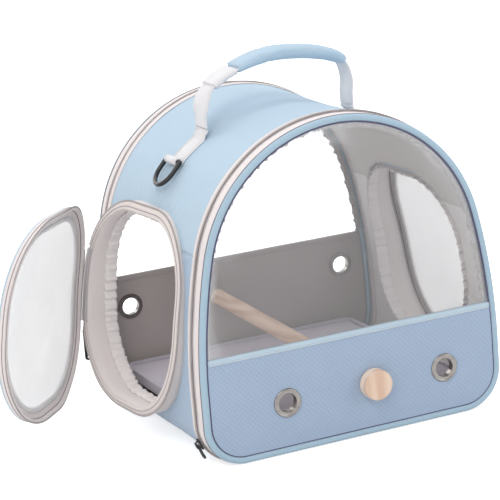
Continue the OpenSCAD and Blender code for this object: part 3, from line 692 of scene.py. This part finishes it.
# nodes, finish and sizes in millimetres of each kind of row
rowKinds = {
    "teeth": (rowTree("toothRow", True), "teeth",
              {"Pitch": 1.9, "Length": 1.15, "Width": 1.3, "Height": 1.1}),
    "stitches": (rowTree("stitchRow", False), "thread",
                 {"Pitch": 3.1, "Length": 2.2, "Width": 0.22, "Height": 0.2}),
}


def makeRows(name, kind, lines, body, slot):
    # lines: lists of (point, up) in millimetres
    tree, mat, size = rowKinds[kind]
    mesh = bpy.data.meshes.new(name + "Path")
    points, edges, ups = [], [], []
    for line in lines:
        start = len(points)
        points += [tuple(c * mm for c in p) for p, up in line]
        ups += [up for p, up in line]
        edges += [(start + k, start + k + 1) for k in range(len(line) - 1)]
    mesh.from_pydata(points, edges, [])
    layer = mesh.attributes.new("up", "FLOAT_VECTOR", "POINT")
    layer.data.foreach_set("vector", np.array(ups, float).ravel())
    path = addObject(name + "Path", mesh)
    mod = path.modifiers.new("rows", "NODES")
    mod.node_group = tree
    for socket in tree.interface.items_tree:
        if socket.in_out == "INPUT" and socket.name in size:
            mod[socket.identifier] = size[socket.name] * mm
        if socket.in_out == "INPUT" and socket.name == "Material":
            mod[socket.identifier] = finish[mat]
    baked = finalMesh(path)
    baked.name = name
    bpy.data.objects.remove(path)
    replaceNode(addObject(name, baked), body, slot)


def archRow(u, v, back, shift=0.0, step=2.5):
    # a line along the zip, from end to end of the panel's opening
    way = 1 if back else -1
    s0, s1 = -zipStop + 2, zipStop - 2
    n = int((s1 - s0) / step)
    line = []
    for k in range(n + 1):
        s = s0 + shift + (s1 - s0 - shift) * k / n
        x, z, nx, nz = archAt(s)
        line.append(((x + u * nx, way * v, z + u * nz), (nx, 0, nz)))
    return line


def doorRow(side, w, u, moving=False, skipHinge=False):
    # lines round the door's outline, left out along the hinge if asked
    line, runs, run = doorLine(0, 2.5), [], []
    for y, z, iy, iz in line + line[:1]:
        if skipHinge and hingeLow - 2 < z < hingeLow + hingeTall + 2 and y > doorMidY:
            if len(run) > 1:
                runs.append(run)
            run = []
            continue
        p = doorPoint(side, y + iy * w, z + iz * w, u, moving)
        q = doorPoint(side, y + iy * w, z + iz * w, u + 1, moving)
        run.append((p, tuple((Vector(q) - Vector(p)).normalized())))
    if len(run) > 1:
        runs.append(run)
    return runs


# outer cloth and lining

print("cloth shell")
coverThick = 2.2
liningThick = 1.0
liningAt = -coverThick - 0.05
clothCell = 3.0
clothDeep = 109.75
holeEdge = -5.0
baseWide = 112
baseDeep = 122.4


def shellPiece(name, s0, s1, outside, thick, mat, slot, nodeName):
    ns, ny = int((s1 - s0) / clothCell), int(2 * clothDeep / clothCell)
    ss, ys = spread(s0, s1, ns), spread(-clothDeep, clothDeep, ny)
    outer, inner = [], []
    for s in ss:
        x, z, nx, nz = archAt(s)
        line = [(y, outside - clothDrop(s, y)) for y in ys]
        outer.append([(x + u * nx, y, z + u * nz) for y, u in line])
        inner.append([(x + (u - thick) * nx, y, z + (u - thick) * nz) for y, u in line])
    keep = np.ones((ns, ny), bool)
    for i, j in np.ndindex(ns, ny):
        mid = [(outer[i][j][k] + outer[i + 1][j + 1][k]) / 2 for k in (0, 1, 2)]
        keep[i, j] = abs(mid[0]) <= 60 or outsideHole(*mid) >= holeEdge
    obj = makeShell(name, outer, inner, keep=keep, uv=gridUv(ss, ys), mat=mat)
    replaceNode(obj, "body", slot, nodeName)


# the roof cover gets the lighter copy of the blue cloth: painted light
shellPiece("roofCloth", -crownEnd, crownEnd, 0.0, coverThick, "top", "cloth_top", "roof_cover")
# the roof lining gets the darker copy of the lining: painted shade
shellPiece("roofLining", -crownEnd, crownEnd, liningAt, liningThick, "roofLining", "lining", "roof_lining")
for sideName, a, b in (("left", -cornerEnd, -crownEnd), ("right", crownEnd, cornerEnd)):
    wall = sideName + "_wall_"
    shellPiece(sideName + "WallCloth", a, b, 0.0, coverThick, "side", "cloth", wall + "cover")
    # the wall linings get the near-white copy of the lining: painted light
    shellPiece(sideName + "WallLining", a, b, liningAt, liningThick, "sideLining", "lining", wall + "lining")

floorXs, floorYs = spread(-baseWide, baseWide, 40), spread(-baseDeep, baseDeep, 40)
under = [[(x, y, 0.0) for y in floorYs] for x in floorXs]
above = [[(x, y, 3.15 + 0.1 * rumple(x, y)) for y in floorYs] for x in floorXs]
baseCloth = makeShell("baseCloth", above, under, uv=gridUv(floorXs, floorYs), mat="side")
replaceNode(baseCloth, "body", "cloth", "base_cover")
strip = [(0.0, 110.4), (0.0, baseDeep), (-2.6, baseDeep), (-2.6, 110.4)]
cornerFrom, cornerTo = zipStop + 1.0, cornerEnd + 0.5
for end, back in (("front", False), ("back", True)):
    for sideName, a, b in (("Left", -cornerTo, -cornerFrom), ("Right", cornerFrom, cornerTo)):
        sweepArch(end + sideName + "Corner", strip, a, b, back, "side", "body", "cloth", step=1.5)
paintNode("base_board", "boardLining")

# zips round the panels

print("panel zips")
panelThick = 1.6


def makePanelZip(panel, back):
    body, edge = panel + "_panel", tapeEdge
    v1 = zipY - gap / 2
    tape = [(0.0, edge - 0.4), (0.55, edge - 0.2), (0.75, edge + 0.6),
            (0.8, v1 - 2.2), (0.85, v1 - 0.2), (0.0, v1 - 0.05)]
    sweepArch(panel + "ZipTape", tape, -zipStop, zipStop, back, "tape", "body", "tape",
              panel + "_zip_track", wobble=0.12)
    makeRows(panel + "BodyTeeth", "teeth", [archRow(1.4, v1 - 0.75, back)], "body", "tape")
    makeRows(panel + "TapeStitches", "stitches", [archRow(0.9, edge + 1.2, back)], "body", "tape")
    v0 = zipY + gap / 2
    v2 = pipeY - panelThick
    rim = [(-0.8, v0 + 0.05), (0.0, v0 + 0.1), (0.15, v0 + 2.2), (0.3, v0 + 6.0),
           (0.1, v2 - 2.0), (-0.5, v2 - 0.4), (-1.6, v2)]
    sweepArch(panel + "RimTape", rim, -zipStop, zipStop, back, "tape", body, "tape",
              panel + "_rim_tape", wobble=0.1)
    # dark cords along the rim tape's seam and fold: painted shade lines
    for label, v in (("Seam", v2 - 0.1), ("Fold", v0 + 3.4)):
        cord = circleProfile(0.0, v, 0.4, 6)
        sweepArch(panel + "Rim" + label, cord, -zipStop, zipStop, back, "fold", body, "tape")
    makeRows(panel + "RimTeeth", "teeth", [archRow(1.4, v0 + 0.75, back, shift=0.95)], body, "tape")


# front and back panels


def insideHalf(z, inset):
    # half width of the panel at height z, drawn in by inset
    if z < cornerR:
        return halfWide - cornerR + sqrt(max((cornerR - inset) ** 2 - (cornerR - z) ** 2, 0))
    return wallX(z, -inset)


def panelGrid(inset, low, high, columns, rows):
    # heights crowd together near the bottom corners and the top of the arch
    grid = []
    for k in range(rows + 1):
        t = k / rows
        if low <= inset:
            t = 1 - cos(t * pi / 2)
        if high >= archTall - inset - 0.01:
            t = sin(t * pi / 2)
        z = low + (high - low) * t
        half = insideHalf(min(max(z, inset + 0.001), archTall - inset - 0.001), inset)
        grid.append([(x, z) for x in spread(-half, half, columns)])
    return grid


def panelSheet(name, grid, way, v, thick, bulge, mat, spots=()):
    outer, inner, keep = [], [], np.ones((len(grid) - 1, len(grid[0]) - 1), bool)
    for row in grid:
        outer.append([(x, way * (v + thick + bulge(x, z)), z) for x, z in row])
        inner.append([(x, way * (v + bulge(x, z)), z) for x, z in row])
    for i, j in np.ndindex(keep.shape):
        x, z = ((grid[i][j][k] + grid[i + 1][j + 1][k]) / 2 for k in (0, 1))
        keep[i, j] = not any(hypot(x - a, z - b) < r for a, b, r in spots)
    return makeShell(name, outer, inner, keep=keep, uv=grid, mat=mat)


panels = {
    "front": {"split": 97.0, "eyelets": [(-69, 47), (91, 47)], "way": -1, "bolts": [(17, 48)]},
    "back": {"split": 118.0, "eyelets": [(-116, 90), (116, 90)], "way": 1, "bolts": []},
}
eyeletHole = 9.8
boltHole = 3.4
seamIn = 6.4
filmThick = 0.7
panelInner = pipeY - panelThick - liningThick


def flatSheet(x, z):
    return 0.0


def filmWaves(x, z):
    return rumple(x * 0.5, z * 0.4, 0.35)


def makeFrill(panel, way, low):
    # the loose inner edge of the cloth that holds the clear film
    reach = sideEnd + springZ - low
    run = spread(0, 2 * reach, int(2 * reach / 1.25))
    rows = []
    for d in run:
        s = d - reach
        x, z, nx, nz = archAt(s)
        wave = sin(s / 2.1 + 2.4 * sin(s / 13)) + 0.5 * sin(s / 0.95)
        tip, lift = -10.2 - 1.1 * wave, 0.5 * wave
        section = [(-4.6, 121.9), (-7.4, 121.6 + lift * 0.4), (tip, 121.1 + lift),
                   (tip - 0.2, 120.7 + lift), (-7.4, 120.9 + lift * 0.4), (-4.6, 121.3)]
        rows.append([(x + u * nx, way * v, z + u * nz) for u, v in section])
    tube(panel + "Frill", rows, run, [0, 3, 6, 6.5, 9.5, 12.5, 13], "lining", panel + "_panel", "lining")


def makePanel(panel, p):
    way, split, body = p["way"], p["split"], panel + "_panel"
    spots = [(x, z, eyeletHole) for x, z in p["eyelets"]] + [(x, z, boltHole) for x, z in p["bolts"]]

    def bulge(x, z):
        flat = min([1.0] + [smoothStep(11, 24, hypot(x - a, z - b)) for a, b, r in spots])
        half = insideHalf(max(z, 7), seamIn)
        rim = smoothStep(0, 16, half - abs(x)) * smoothStep(6, 20, z) * smoothStep(0, 14, split - z)
        return (0.9 + rumple(x * 1.1, z * 1.4, 0.45)) * rim * flat

    grid = panelGrid(seamIn, seamIn, split, 150, 56)
    cover = panelSheet(panel + "PanelCloth", grid, way, pipeY, panelThick, bulge, "front", spots)
    replaceNode(cover, body, "cloth", panel + "_panel_cover")
    lining = panelSheet(panel + "PanelLining", grid, way, panelInner, liningThick, flatSheet, "lining", spots)
    replaceNode(lining, body, "lining", panel + "_panel_lining")
    paintNode(panel + "_panel_board", "board")
    high = panelGrid(seamIn, split + 1.2, archTall - seamIn, 60, 60)
    film = panelSheet(panel + "Film", high, way, pipeY - filmThick / 2, filmThick, filmWaves, "clear")

    def nearness(x, y, z):
        inset = min(insideHalf(min(max(z, 20), 289), seamIn) - abs(x), archTall - seamIn - z)
        if z > crownZ:
            inset = min(inset, crownR - seamIn - hypot(x, z - crownZ))
        # the drift term sets where the film's streaks of painted gloss lie
        drift = smoothStep(0, 1, 0.5 + 0.5 * sin(x / 19 + z / 31))
        return smoothStep(7, 0, inset) * 0.5 + 0.25 * smoothStep(34, 0, inset) * drift

    markEdge(film, nearness)
    makeFrill(panel, way, split + 6)
    replaceNode(film, body, "clear", panel + "_window")
    wide = wallX(split + 3, 0) - seamIn - 0.5
    deep0, deep1 = panelInner - 0.7, pipeY + panelThick + 0.6
    section = [(-2.5, deep1 - 0.5), (-2.1, deep1 + 0.1), (0, deep1 + 0.45), (1.9, deep1 + 0.2),
               (2.8, deep1 - 0.6), (3, pipeY + 0.2), (2.8, deep0 + 0.4), (1.6, deep0), (-2.1, deep0),
               (-2.5, deep0 + 0.5)]
    section = [(split + h, v) for h, v in section]
    xs = spread(-wide, wide, 100)
    rows = []
    for x in xs:
        row = []
        for z, v in section:
            row.append((x, way * (v + 0.12 * rumple(x, z * 2)), z + 0.15 * rumple(x * 1.5, v)))
        rows.append(row)
    around = [0, 0.8, 3.2, 5.8, 7.2, 11, 15, 17, 21, 23, 26]
    mat = "binding" if way < 0 else "lining"
    tube(panel + "WindowBinding", rows, xs, around, mat, body, "cloth_top", panel + "_window_binding")
    line = [((x, way * (deep1 + 0.5), split - 1.4), (0, way, 0)) for x in xs[1:-1]]
    makeRows(panel + "BindingStitches", "stitches", [line], body, "cloth_top")
    pipe = circleProfile(-pipeR, pipeY, pipeR, 18)
    sweepArch(panel + "Piping", pipe, -floorMid, floorMid, way > 0, "piping", body, "cloth",
              panel + "_piping", closed=True, wobble=0.08)
    # a dark purple cord inside the piping, partly the film's edge and partly painted shadow
    cord = circleProfile(-seamIn - 0.3, pipeY + 0.9, 0.85, 8)
    sweepArch(panel + "SeamCord", cord, -floorMid + 0.1, floorMid, way > 0, "seam", body, "cloth",
              closed=True, wobble=0.1)
    paintNode(panel + "_arch_wire", "steel")
    paintNode(panel + "_eyelets", "nickel")


print("panels")
for panel, p in panels.items():
    makePanelZip(panel, p["way"] > 0)
    makePanel(panel, p)

# door rings, gathered linings and doors

print("doors")
ringProfile = [(0.3, 0, -0.3), (-0.05, 0.3, 0), (-0.1, 0.7, 0), (0.15, 1, -0.7), (1.2, 1, 0.0),
               (2.6, 1, 0.2), (4.0, 1, 0.0), (6.0, 1, 0.25), (7.4, 1, 0.0), (7.95, 1, -0.8),
               (8.0, 0.5, 0), (8.0, 0, 0), (7.5, 0, -0.9), (1.0, 0, -0.9)]
ringInside = [(8.05, 1, -0.8), (8.15, 0.6, -0.4), (8.25, 0, 1.5), (8.35, 0, -2.6), (8.9, 0, -2.6),
              (8.85, 0, 1.5), (8.75, 0.6, -0.4), (8.6, 1, -1.0)]
gatherProfile = [(8.9, 0.25, 0.4), (9.0, 0, 0.6), (9.1, 0, -1.4), (9.4, 0, -3.2), (9.5, 0, -4.6),
                 (9.6, 0, -5.7), (10.1, 0, -5.9), (10.2, 0, -4.6), (10.1, 0, -3.2), (9.9, 0, -1.4),
                 (9.7, 0, 0.6), (9.5, 0.25, 0.2)]
rimLow = ringTop + gap
rimTop = rimLow + rimH
rimShape = [(0.15, -6), (-0.2, -4.5), (-0.3, -1.5), (-0.5, 0.5), (0.1, 2.0), (1.6, 2.8), (3.6, 2.4),
            (5.0, 1.0), (7.5, 0.45), (10.5, 0.1), (12.7, -0.5), (13.0, -1.3), (12.6, -2.0), (8.0, -2.0),
            (3.2, -2.2), (2.4, -3.2), (2.3, -6)]
rimProfile = [(w, 1, h + rimTop - ringTop) for w, h in rimShape]
# places of the dark cords along the door rim, painted shade lines
rimCords = (("Outer", 5.4, 0.55), ("Inner", 11.4, -0.1), ("Side", -0.35, -1.6), ("Under", 2.7, -2.9))
hingeHigh = -1.35
hingeSection = [(0.1, 0, 0), (0.1, 1, hingeHigh), (1.2, 1, hingeHigh + 0.05), (2.4, 1, hingeHigh),
                (2.5, 1, hingeHigh - 1.0), (1.6, 1, hingeHigh - 1.3), (1.25, 1, hingeHigh - 2.2),
                (1.25, 0, 0.9), (1.25, 0, 0)]
ringPatch = [(-1.9, 0.0), (-0.2, 0.28), (4.0, 0.3), (7.8, 0.2), (8.4, -1.5), (8.7, -7.0), (8.4, -7.0),
             (8.0, -1.2), (7.6, -0.1), (-0.2, 0.0), (-1.9, -0.3)]
doorPatch = [(-1.9, gap - 0.1), (-0.6, gap + 0.3), (-0.75, gap + 4.0), (-0.8, gap + 6.5), (-0.5, gap + 6.5),
             (-0.3, gap + 4.0), (-0.1, gap + 0.6), (-1.8, gap + 0.2)]
stationCount = len(doorLine(0, 1.25))
random.seed(5)
pleats = [random.uniform(-1, 1) for k in range(stationCount)]


def ringFlutter(k, part):
    return 0.12 * pleats[k]


def gatherFlutter(k, part):
    a = 2 * pi * k / stationCount
    wave = 0.9 * sin(58 * a + 2.4 * sin(7 * a)) + 0.7 * sin(121 * a + 1.9 * sin(11 * a))
    return (wave + 0.4 * pleats[k]) * (1 - 0.75 * part) + 0.6


def backEdge(z):
    # y of the outline's back edge at height z
    past = max(0, abs(z - doorMidZ) - doorTall / 2 + doorR)
    return doorMidY + doorWide / 2 - doorR + sqrt(doorR ** 2 - past ** 2)


def doorCord(w, h, across, up, sides=6):
    # an oval section that lies h above the ring's top
    turns = [k * pi / (sides // 2) for k in range(sides)]
    return [(w + across * cos(t), 1, h + up * sin(t)) for t in turns]


def makeDoorFilm(sideName, side, body):
    # rings of points from the rim to the middle, domed clear of the ring
    outline = doorLine(8.0, 2.5)
    rings = 26
    outer, inner = [], []
    for y, z, iy, iz in outline:
        a, b = [], []
        for k in range(rings):
            t = 1 - k / (rings - 1)
            py, pz = doorMidY + (y - doorMidY) * t, doorMidZ + (z - doorMidZ) * t
            u = rimTop - 2.1 + 1.6 * smoothStep(12, 60, -outsideDoor(py, pz))
            a.append(doorPoint(side, py, pz, u, True))
            b.append(doorPoint(side, py, pz, u - filmThick, True))
        outer.append(a)
        inner.append(b)
    uv = gridUv([2.5 * k for k in range(len(outline) + 1)], [4 * k for k in range(rings)])
    film = makeShell(sideName + "DoorFilm", outer, inner, wrapI=True, mat="frosted", weld=0.02, uv=uv)
    markEdge(film, lambda x, y, z: 0.0)
    replaceNode(film, body, "clear", sideName + "_door_window")


def makeDoor(sideName, side):
    body = sideName + "_door"
    sweepDoor(sideName + "DoorRing", side, ringProfile, "ring", "body", "tape", body + "_ring",
              flutter=ringFlutter)
    # the ring's inside gets the lighter zip tape's colour: painted light on a face that lies in shade
    sweepDoor(sideName + "RingInside", side, ringInside, "tape", "body", "tape")
    sweepDoor(sideName + "Gather", side, gatherProfile, "gather", "body", "gather",
              sideName + "_ring_gather", flutter=gatherFlutter, step=1.25)
    lines = doorRow(side, -0.7, ringTop - 0.7, skipHinge=True)
    makeRows(sideName + "RingTeeth", "teeth", lines, "body", "tape")
    # a dark cord in the ring's groove: painted shade
    sweepDoor(sideName + "RingGroove", side, doorCord(3.9, 0.0, 0.4, 0.35), "fold", "body", "tape")
    makeRows(sideName + "RingStitches", "stitches", doorRow(side, 6.2, ringTop + 0.25), "body", "tape")
    zs = spread(hingeLow, hingeLow + hingeTall, 24)
    rows = []
    for z in zs:
        edge = backEdge(z)
        under = wallUnder(edge, z)
        heights = [(w, under * (1 - part) + ringTop * part + h) for w, part, h in hingeSection]
        rows.append([doorPoint(side, edge + w, z, u) for w, u in heights])
    around = [0, 7, 8, 9, 10, 11, 12, 16, 17, 18]
    tube(sideName + "HingeTape", rows, zs, around, "hinge", "body", "cloth", sideName + "_hinge_tape")
    sweepDoor(sideName + "DoorRim", side, rimProfile, "tape", body, "tape", body + "_rim", moving=True)
    line = doorCord(0.9, rimTop - ringTop + 2.0, 1.4, 1.4, 10)
    sweepDoor(sideName + "DoorBinding", side, line, "binding", body, "cloth_top", moving=True)
    # dark cords along the door rim's edges and underside: painted shade lines
    for label, w, h in rimCords:
        line = doorCord(w, rimTop - ringTop + h, 0.4, 0.4)
        sweepDoor(sideName + "Rim" + label + "Cord", side, line, "fold", body, "tape", moving=True)
    lines = doorRow(side, -0.75, rimLow + 0.75, moving=True, skipHinge=True)
    makeRows(sideName + "DoorTeeth", "teeth", lines, body, "tape")
    hingeParts = (("Ring", False, "body", ringPatch), ("Door", True, body, doorPatch))
    for label, swings, rider, section in hingeParts:
        rows = [[doorPoint(side, backEdge(z) - w, z, ringTop + h, swings) for w, h in section] for z in zs]
        around = list(range(len(section) + 1))
        tube(sideName + label + "Hinge", rows, zs, around, "hinge", rider, "cloth")
    lines = doorRow(side, 8.2, rimTop + 0.2, moving=True)
    makeRows(sideName + "RimStitches", "stitches", lines, body, "tape")
    makeDoorFilm(sideName, side, body)
    paintNode(body + "_slider", "blackMetal")
    paintNode(body + "_pull", "rubber")


makeDoor("left", -1)
makeDoor("right", 1)

# straps, D-rings and handle

print("straps and handle")
strapX = 75.0
strapLift = 17.5
webWide = 25.0
webThick = 1.6
gripThick = 12.0
gripWide = 30.0
gripVoxel, gripPressure, gripSwell = 2.2, 3.0, 1.4
ringAt = radians(47.5)
barR = 2.2
route = [(-75, 0), (-73, 11), (-66, 23), (-52, 32.5), (-37, 38), (-15, 44.5),
         (5, 46.5), (33, 44), (58, 38), (71, 29), (76, 14), (75, 0)]
knotGap = 22
keeperFrom, keeperTo = 2.2, 3.75
gripFrom, gripTo = 3.9, 8.9


def roofAt(x):
    return crownZ + sqrt(crownR ** 2 - x ** 2)


pivotZ = roofAt(strapX) + strapLift


def routeAt(s):
    # point of the handle's middle line, one unit of s from knot to knot, with straight ends below the fold
    n = len(route) - 1
    if s < 0:
        return route[0][0], knotGap * s
    if s > n:
        return route[-1][0], knotGap * (n - s)
    i = min(n - 1, int(s))
    t = s - i
    a, b, c, d = (route[max(0, min(n, k))] for k in (i - 1, i, i + 1, i + 2))
    return tuple(0.5 * (2 * b[k] + (c[k] - a[k]) * t + (2 * a[k] - 5 * b[k] + 4 * c[k] - d[k]) * t ** 2
                        + (3 * b[k] - a[k] - 3 * c[k] + d[k]) * t ** 3) for k in (0, 1))


def routeTurn(s):
    a, b = routeAt(s - 0.02), routeAt(s + 0.02)
    return atan2(b[1] - a[1], b[0] - a[0])


def ribbonRows(stations, thick, wide, twist=lambda s: 0.0, soft=0.25):
    # a flat webbing with rounded edges along the handle
    half, t = wide / 2, thick / 2
    flat = half - soft
    section = [(-flat, -t), (-half, 0), (-flat, t), (-half / 2, t), (0, t), (half / 2, t), (flat, t),
               (half, 0), (flat, -t), (0, -t)]
    rows = []
    for s in stations:
        x, z = routeAt(s)
        a = routeTurn(s)
        up = Vector((-sin(a), 0, cos(a)))
        out = Vector((0, 1, 0))
        ahead = Vector((cos(a), 0, sin(a)))
        turn = Matrix.Rotation(twist(s), 3, ahead)
        up, out = turn @ up, turn @ out
        mid = Vector((x, 0, pivotZ + z))
        rows.append([tuple(mid + out * p + up * q) for p, q in section])
    return rows, [knotGap * s for s in stations], pathLengths(section + section[:1])


def webTwist(s):
    return 0.16 * sin(pi * s / 2.0) if 0 < s < 2 else 0.0


rows, run, around = ribbonRows(spread(-0.55, 11.55, 170), webThick, webWide, twist=webTwist)
webbing = makeShell("handleWebbing", rows, wrapJ=True, uv=gridUv(run, around), mat="webbing", caps=True)
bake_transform(webbing)
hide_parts("handle_webbing")
rows, run, around = ribbonRows(spread(keeperFrom, keeperTo, 16), webThick + 4.2, webWide + 3.8, soft=1.6)
tube("handleKeeper", rows, run, around, "webbing", "handle", "webbing", "handle_keeper")


def gripMesh():
    rings, sides = 60, 28
    rows = []
    for i in range(rings + 1):
        t = i / rings
        s = gripFrom + (gripTo - gripFrom) * t
        x, z = routeAt(s)
        a = routeTurn(s)
        swell = 0.78 + 0.16 * sin(pi * t) ** 0.5
        swell -= 0.13 * exp(-((t - 0.3) / 0.02) ** 2) + 0.08 * exp(-((t - 0.8) / 0.02) ** 2)
        row = []
        for j in range(sides):
            b = 2 * pi * j / sides
            up = swell * gripThick / 2 * copysign(abs(sin(b)) ** 0.8, sin(b))
            out = (gripWide / 2 - 0.8) * copysign(abs(cos(b)) ** 0.7, cos(b))
            row.append((x - up * sin(a), out, pivotZ + z + up * cos(a)))
        rows.append(row)
    # painted light: the grip takes the roof's lighter copy of the blue cloth
    return makeShell("handleGrip", rows, wrapJ=True, caps=True, mat="top")


def inflate(obj, voxel, pressure, cap, steps=20, stiff=12.0):
    # cloth simulation that fills a pad, with the movement of each point capped
    mod = obj.modifiers.new("remesh", "REMESH")
    mod.mode = "VOXEL"
    mod.voxel_size = voxel * mm
    mesh = finalMesh(obj)
    obj.modifiers.clear()
    obj.data = mesh
    before = np.array([v.co[:] for v in mesh.vertices])
    cloth = obj.modifiers.new("cloth", "CLOTH")
    cloth.settings.use_pressure = True
    cloth.settings.uniform_pressure_force = pressure
    cloth.settings.tension_stiffness = stiff
    cloth.settings.compression_stiffness = stiff
    cloth.settings.effector_weights.gravity = 0
    scene = bpy.context.scene
    for f in range(1, steps + 1):
        scene.frame_set(f)
    after = obj.evaluated_get(bpy.context.evaluated_depsgraph_get()).data
    moved = np.array([v.co[:] for v in after.vertices])
    obj.modifiers.clear()
    scene.frame_set(1)
    shift = moved - before
    far = np.linalg.norm(shift, axis=1, keepdims=True)
    shift *= np.minimum(1, cap * mm / np.maximum(far, 1e-9))
    mesh.vertices.foreach_set("co", (before + shift).ravel())
    mesh.update()
    for p in mesh.polygons:
        p.use_smooth = True


grip = gripMesh()
inflate(grip, gripVoxel, gripPressure, gripSwell)
layer = grip.data.uv_layers.new(name="cloth")
for loop in grip.data.loops:
    co = grip.data.vertices[loop.vertex_index].co
    layer.data[loop.index].uv = (co.x, co.y + co.z * 0.7)
# the grip gets the roof's lighter copy of the blue cloth: painted light
grip.data.materials.clear()
grip.data.materials.append(finish["top"])
replaceNode(grip, "handle", "cloth_top", "handle_grip")


def makeStrap(sideName, side):
    half = webWide / 2
    top = asin(strapX / crownR) - radians(2)
    low = ringAt
    barLift = barR + webThick + 0.4
    wrapR = barR + 0.1
    bendZ = roofAt(strapX) + 3.5
    topZ = pivotZ - half - 0.35
    # x and z of the strap's middle line, with the direction of its thickness
    middle = [(side * strapX, h, side, 0.0) for h in spread(topZ, bendZ, 13)]
    for k in range(1, 9):
        a = pi / 2 * k / 8
        x, z = strapX + 3.0 * (1 - cos(a)) * 0.6, bendZ - 3.0 * sin(a) + 0.2
        middle.append((side * x, z, side * cos(a), sin(a)))
    for k in range(1, 25):
        t = top + radians(3.6) + (low - top - radians(3.6)) * k / 24
        s = t * crownR
        r = crownR + 0.9 - clothDrop(side * s, 0) + 0.15
        middle.append((side * r * sin(t), crownZ + r * cos(t), side * sin(t), cos(t)))
    bx, bz = side * (crownR + barLift) * sin(low), crownZ + (crownR + barLift) * cos(low)
    base = atan2(-cos(low), -sin(low))
    for k in range(1, 22):
        a = base + radians(15 * k)
        r = wrapR + 0.8
        cx, cz = cos(a) * r, sin(a) * r
        middle.append((bx + side * cx, bz + cz, side * -cos(a), -sin(a)))
    t, flat = webThick / 2, half - 0.2
    section = [(-flat, -t), (-half, 0), (-flat, t), (0, t), (flat, t), (half, 0), (flat, -t), (0, -t)]
    rows = [[(x + ux * q, p, z + uz * q) for p, q in section] for x, z, ux, uz in middle]
    around = [0, 0.6, 1.2, 13, 25, 26, 26.5, 39, 52]
    run = pathLengths(middle)
    tube(sideName + "Strap", rows, run, around, "webbing", "body", "webbing", sideName + "_strap")
    sewn = middle[24:42]
    lines = [[((x + ux, y, z + uz), (ux, 0, uz)) for x, z, ux, uz in sewn] for y in (-half + 2, half - 2)]
    makeRows(sideName + "StrapStitches", "stitches", lines, "body", "webbing")
    paintNode(sideName + "_d_ring", "blackMetal")


makeStrap("left", -1)
makeStrap("right", 1)

# tray, perch, knob and small metal

print("tray and perch")
paintNode("tray", "tray")
lowMat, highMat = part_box("tray_mat")
lx, ly, lz, hx, hy, hz = (c / mm for c in (*lowMat, *highMat))
xs, ys = spread(lx + 0.3, hx - 0.3, 80), spread(ly + 0.3, hy - 0.3, 70)


def matRise(x, y):
    edge = min(x - lx, hx - x, y - ly, hy - y)
    return hz - 1.6 + 1.3 * smoothStep(0, 7, edge) + 0.35 * rumple(x * 1.6, y * 1.4)


top = [[(x, y, matRise(x, y)) for y in ys] for x in xs]
low = [[(x, y, lz + 0.1) for y in ys] for x in xs]
replaceNode(makeShell("trayMat", top, low, uv=gridUv(xs, ys), mat="mat"), "tray", "mat", "tray_mat")
paintNode("perch", "perchWood")
paintNode("perch_bolt", "steel")
paintNode("perch_washer", "steel")
paintNode("knob", "knobWood")
for panel in ("front", "back"):
    paintNode(panel + "_slider", "blackMetal")
    paintNode(panel + "_pull", "rubber")

# floor, light and background

white = (1, 1, 1, 1)
floorDark = (0.84, 0.84, 0.84, 1)
floorLight = (0.87, 0.87, 0.87, 1)
floorGlow = 0.62
skyColour = (0.95, 0.97, 1.0, 1)
skyStrength = 0.55
lampAim = Vector((0, 0, 0.15))


def seenRays(tree):
    # the rays that see floor and background as plain white
    rays = put(tree, "ShaderNodeLightPath")
    seen = maths(tree, "MAXIMUM", rays.outputs["Is Camera Ray"], rays.outputs["Is Transmission Ray"])
    return maths(tree, "MAXIMUM", seen, rays.outputs["Is Glossy Ray"])


def makeStage():
    mat, tree, shader = startMaterial("paleFloor")
    plug(tree, shader, {
        "Base Color": blendColour(tree, noise(tree, objectPlace(tree), 3.0, 2.0), floorDark, floorLight),
        "Roughness": 0.9,
        "Emission Strength": maths(tree, "MULTIPLY", seenRays(tree), floorGlow),
        "Emission Color": white,
    })
    bpy.ops.mesh.primitive_plane_add(size=12, location=(0, 0, -0.0005))
    floor = bpy.context.object
    floor.name = "floor"
    floor.data.materials.append(mat)
    world = bpy.data.worlds.new("studio")
    bpy.context.scene.world = world
    world.use_nodes = True
    tree = world.node_tree
    tree.nodes.clear()
    soft = put(tree, "ShaderNodeBackground", {"Color": skyColour, "Strength": skyStrength})
    pale = put(tree, "ShaderNodeBackground", {"Color": white, "Strength": 1.0})
    mix = put(tree, "ShaderNodeMixShader", {0: seenRays(tree), 1: soft.outputs[0], 2: pale.outputs[0]})
    put(tree, "ShaderNodeOutputWorld", {0: mix.outputs[0]})


lamps = [
    ("keyLamp", (-1.3, -1.5, 2.2), 1.6, 25, (1.0, 0.97, 0.94)),
    ("topLamp", (0.5, 0.5, 2.6), 1.8, 26, (0.97, 0.98, 1.0)),
    ("fillLamp", (1.9, -1.4, 1.0), 1.4, 12, (0.94, 0.96, 1.0)),
    ("sideLamp", (-2.1, -1.3, 0.5), 1.4, 8, (1.0, 0.98, 0.96)),
    ("backLamp", (-0.8, 1.9, 1.3), 1.3, 12, (1.0, 0.98, 0.96)),
]


def makeLamps():
    for name, place, size, power, tint in lamps:
        data = bpy.data.lights.new(name, "AREA")
        data.size, data.energy, data.color = size, power, tint
        lamp = addObject(name, data)
        lamp.location = place
        lamp.rotation_euler = (lampAim - Vector(place)).to_track_quat("-Z", "Y").to_euler()


makeStage()
makeLamps()
bpy.context.scene.view_settings.view_transform = "Standard"
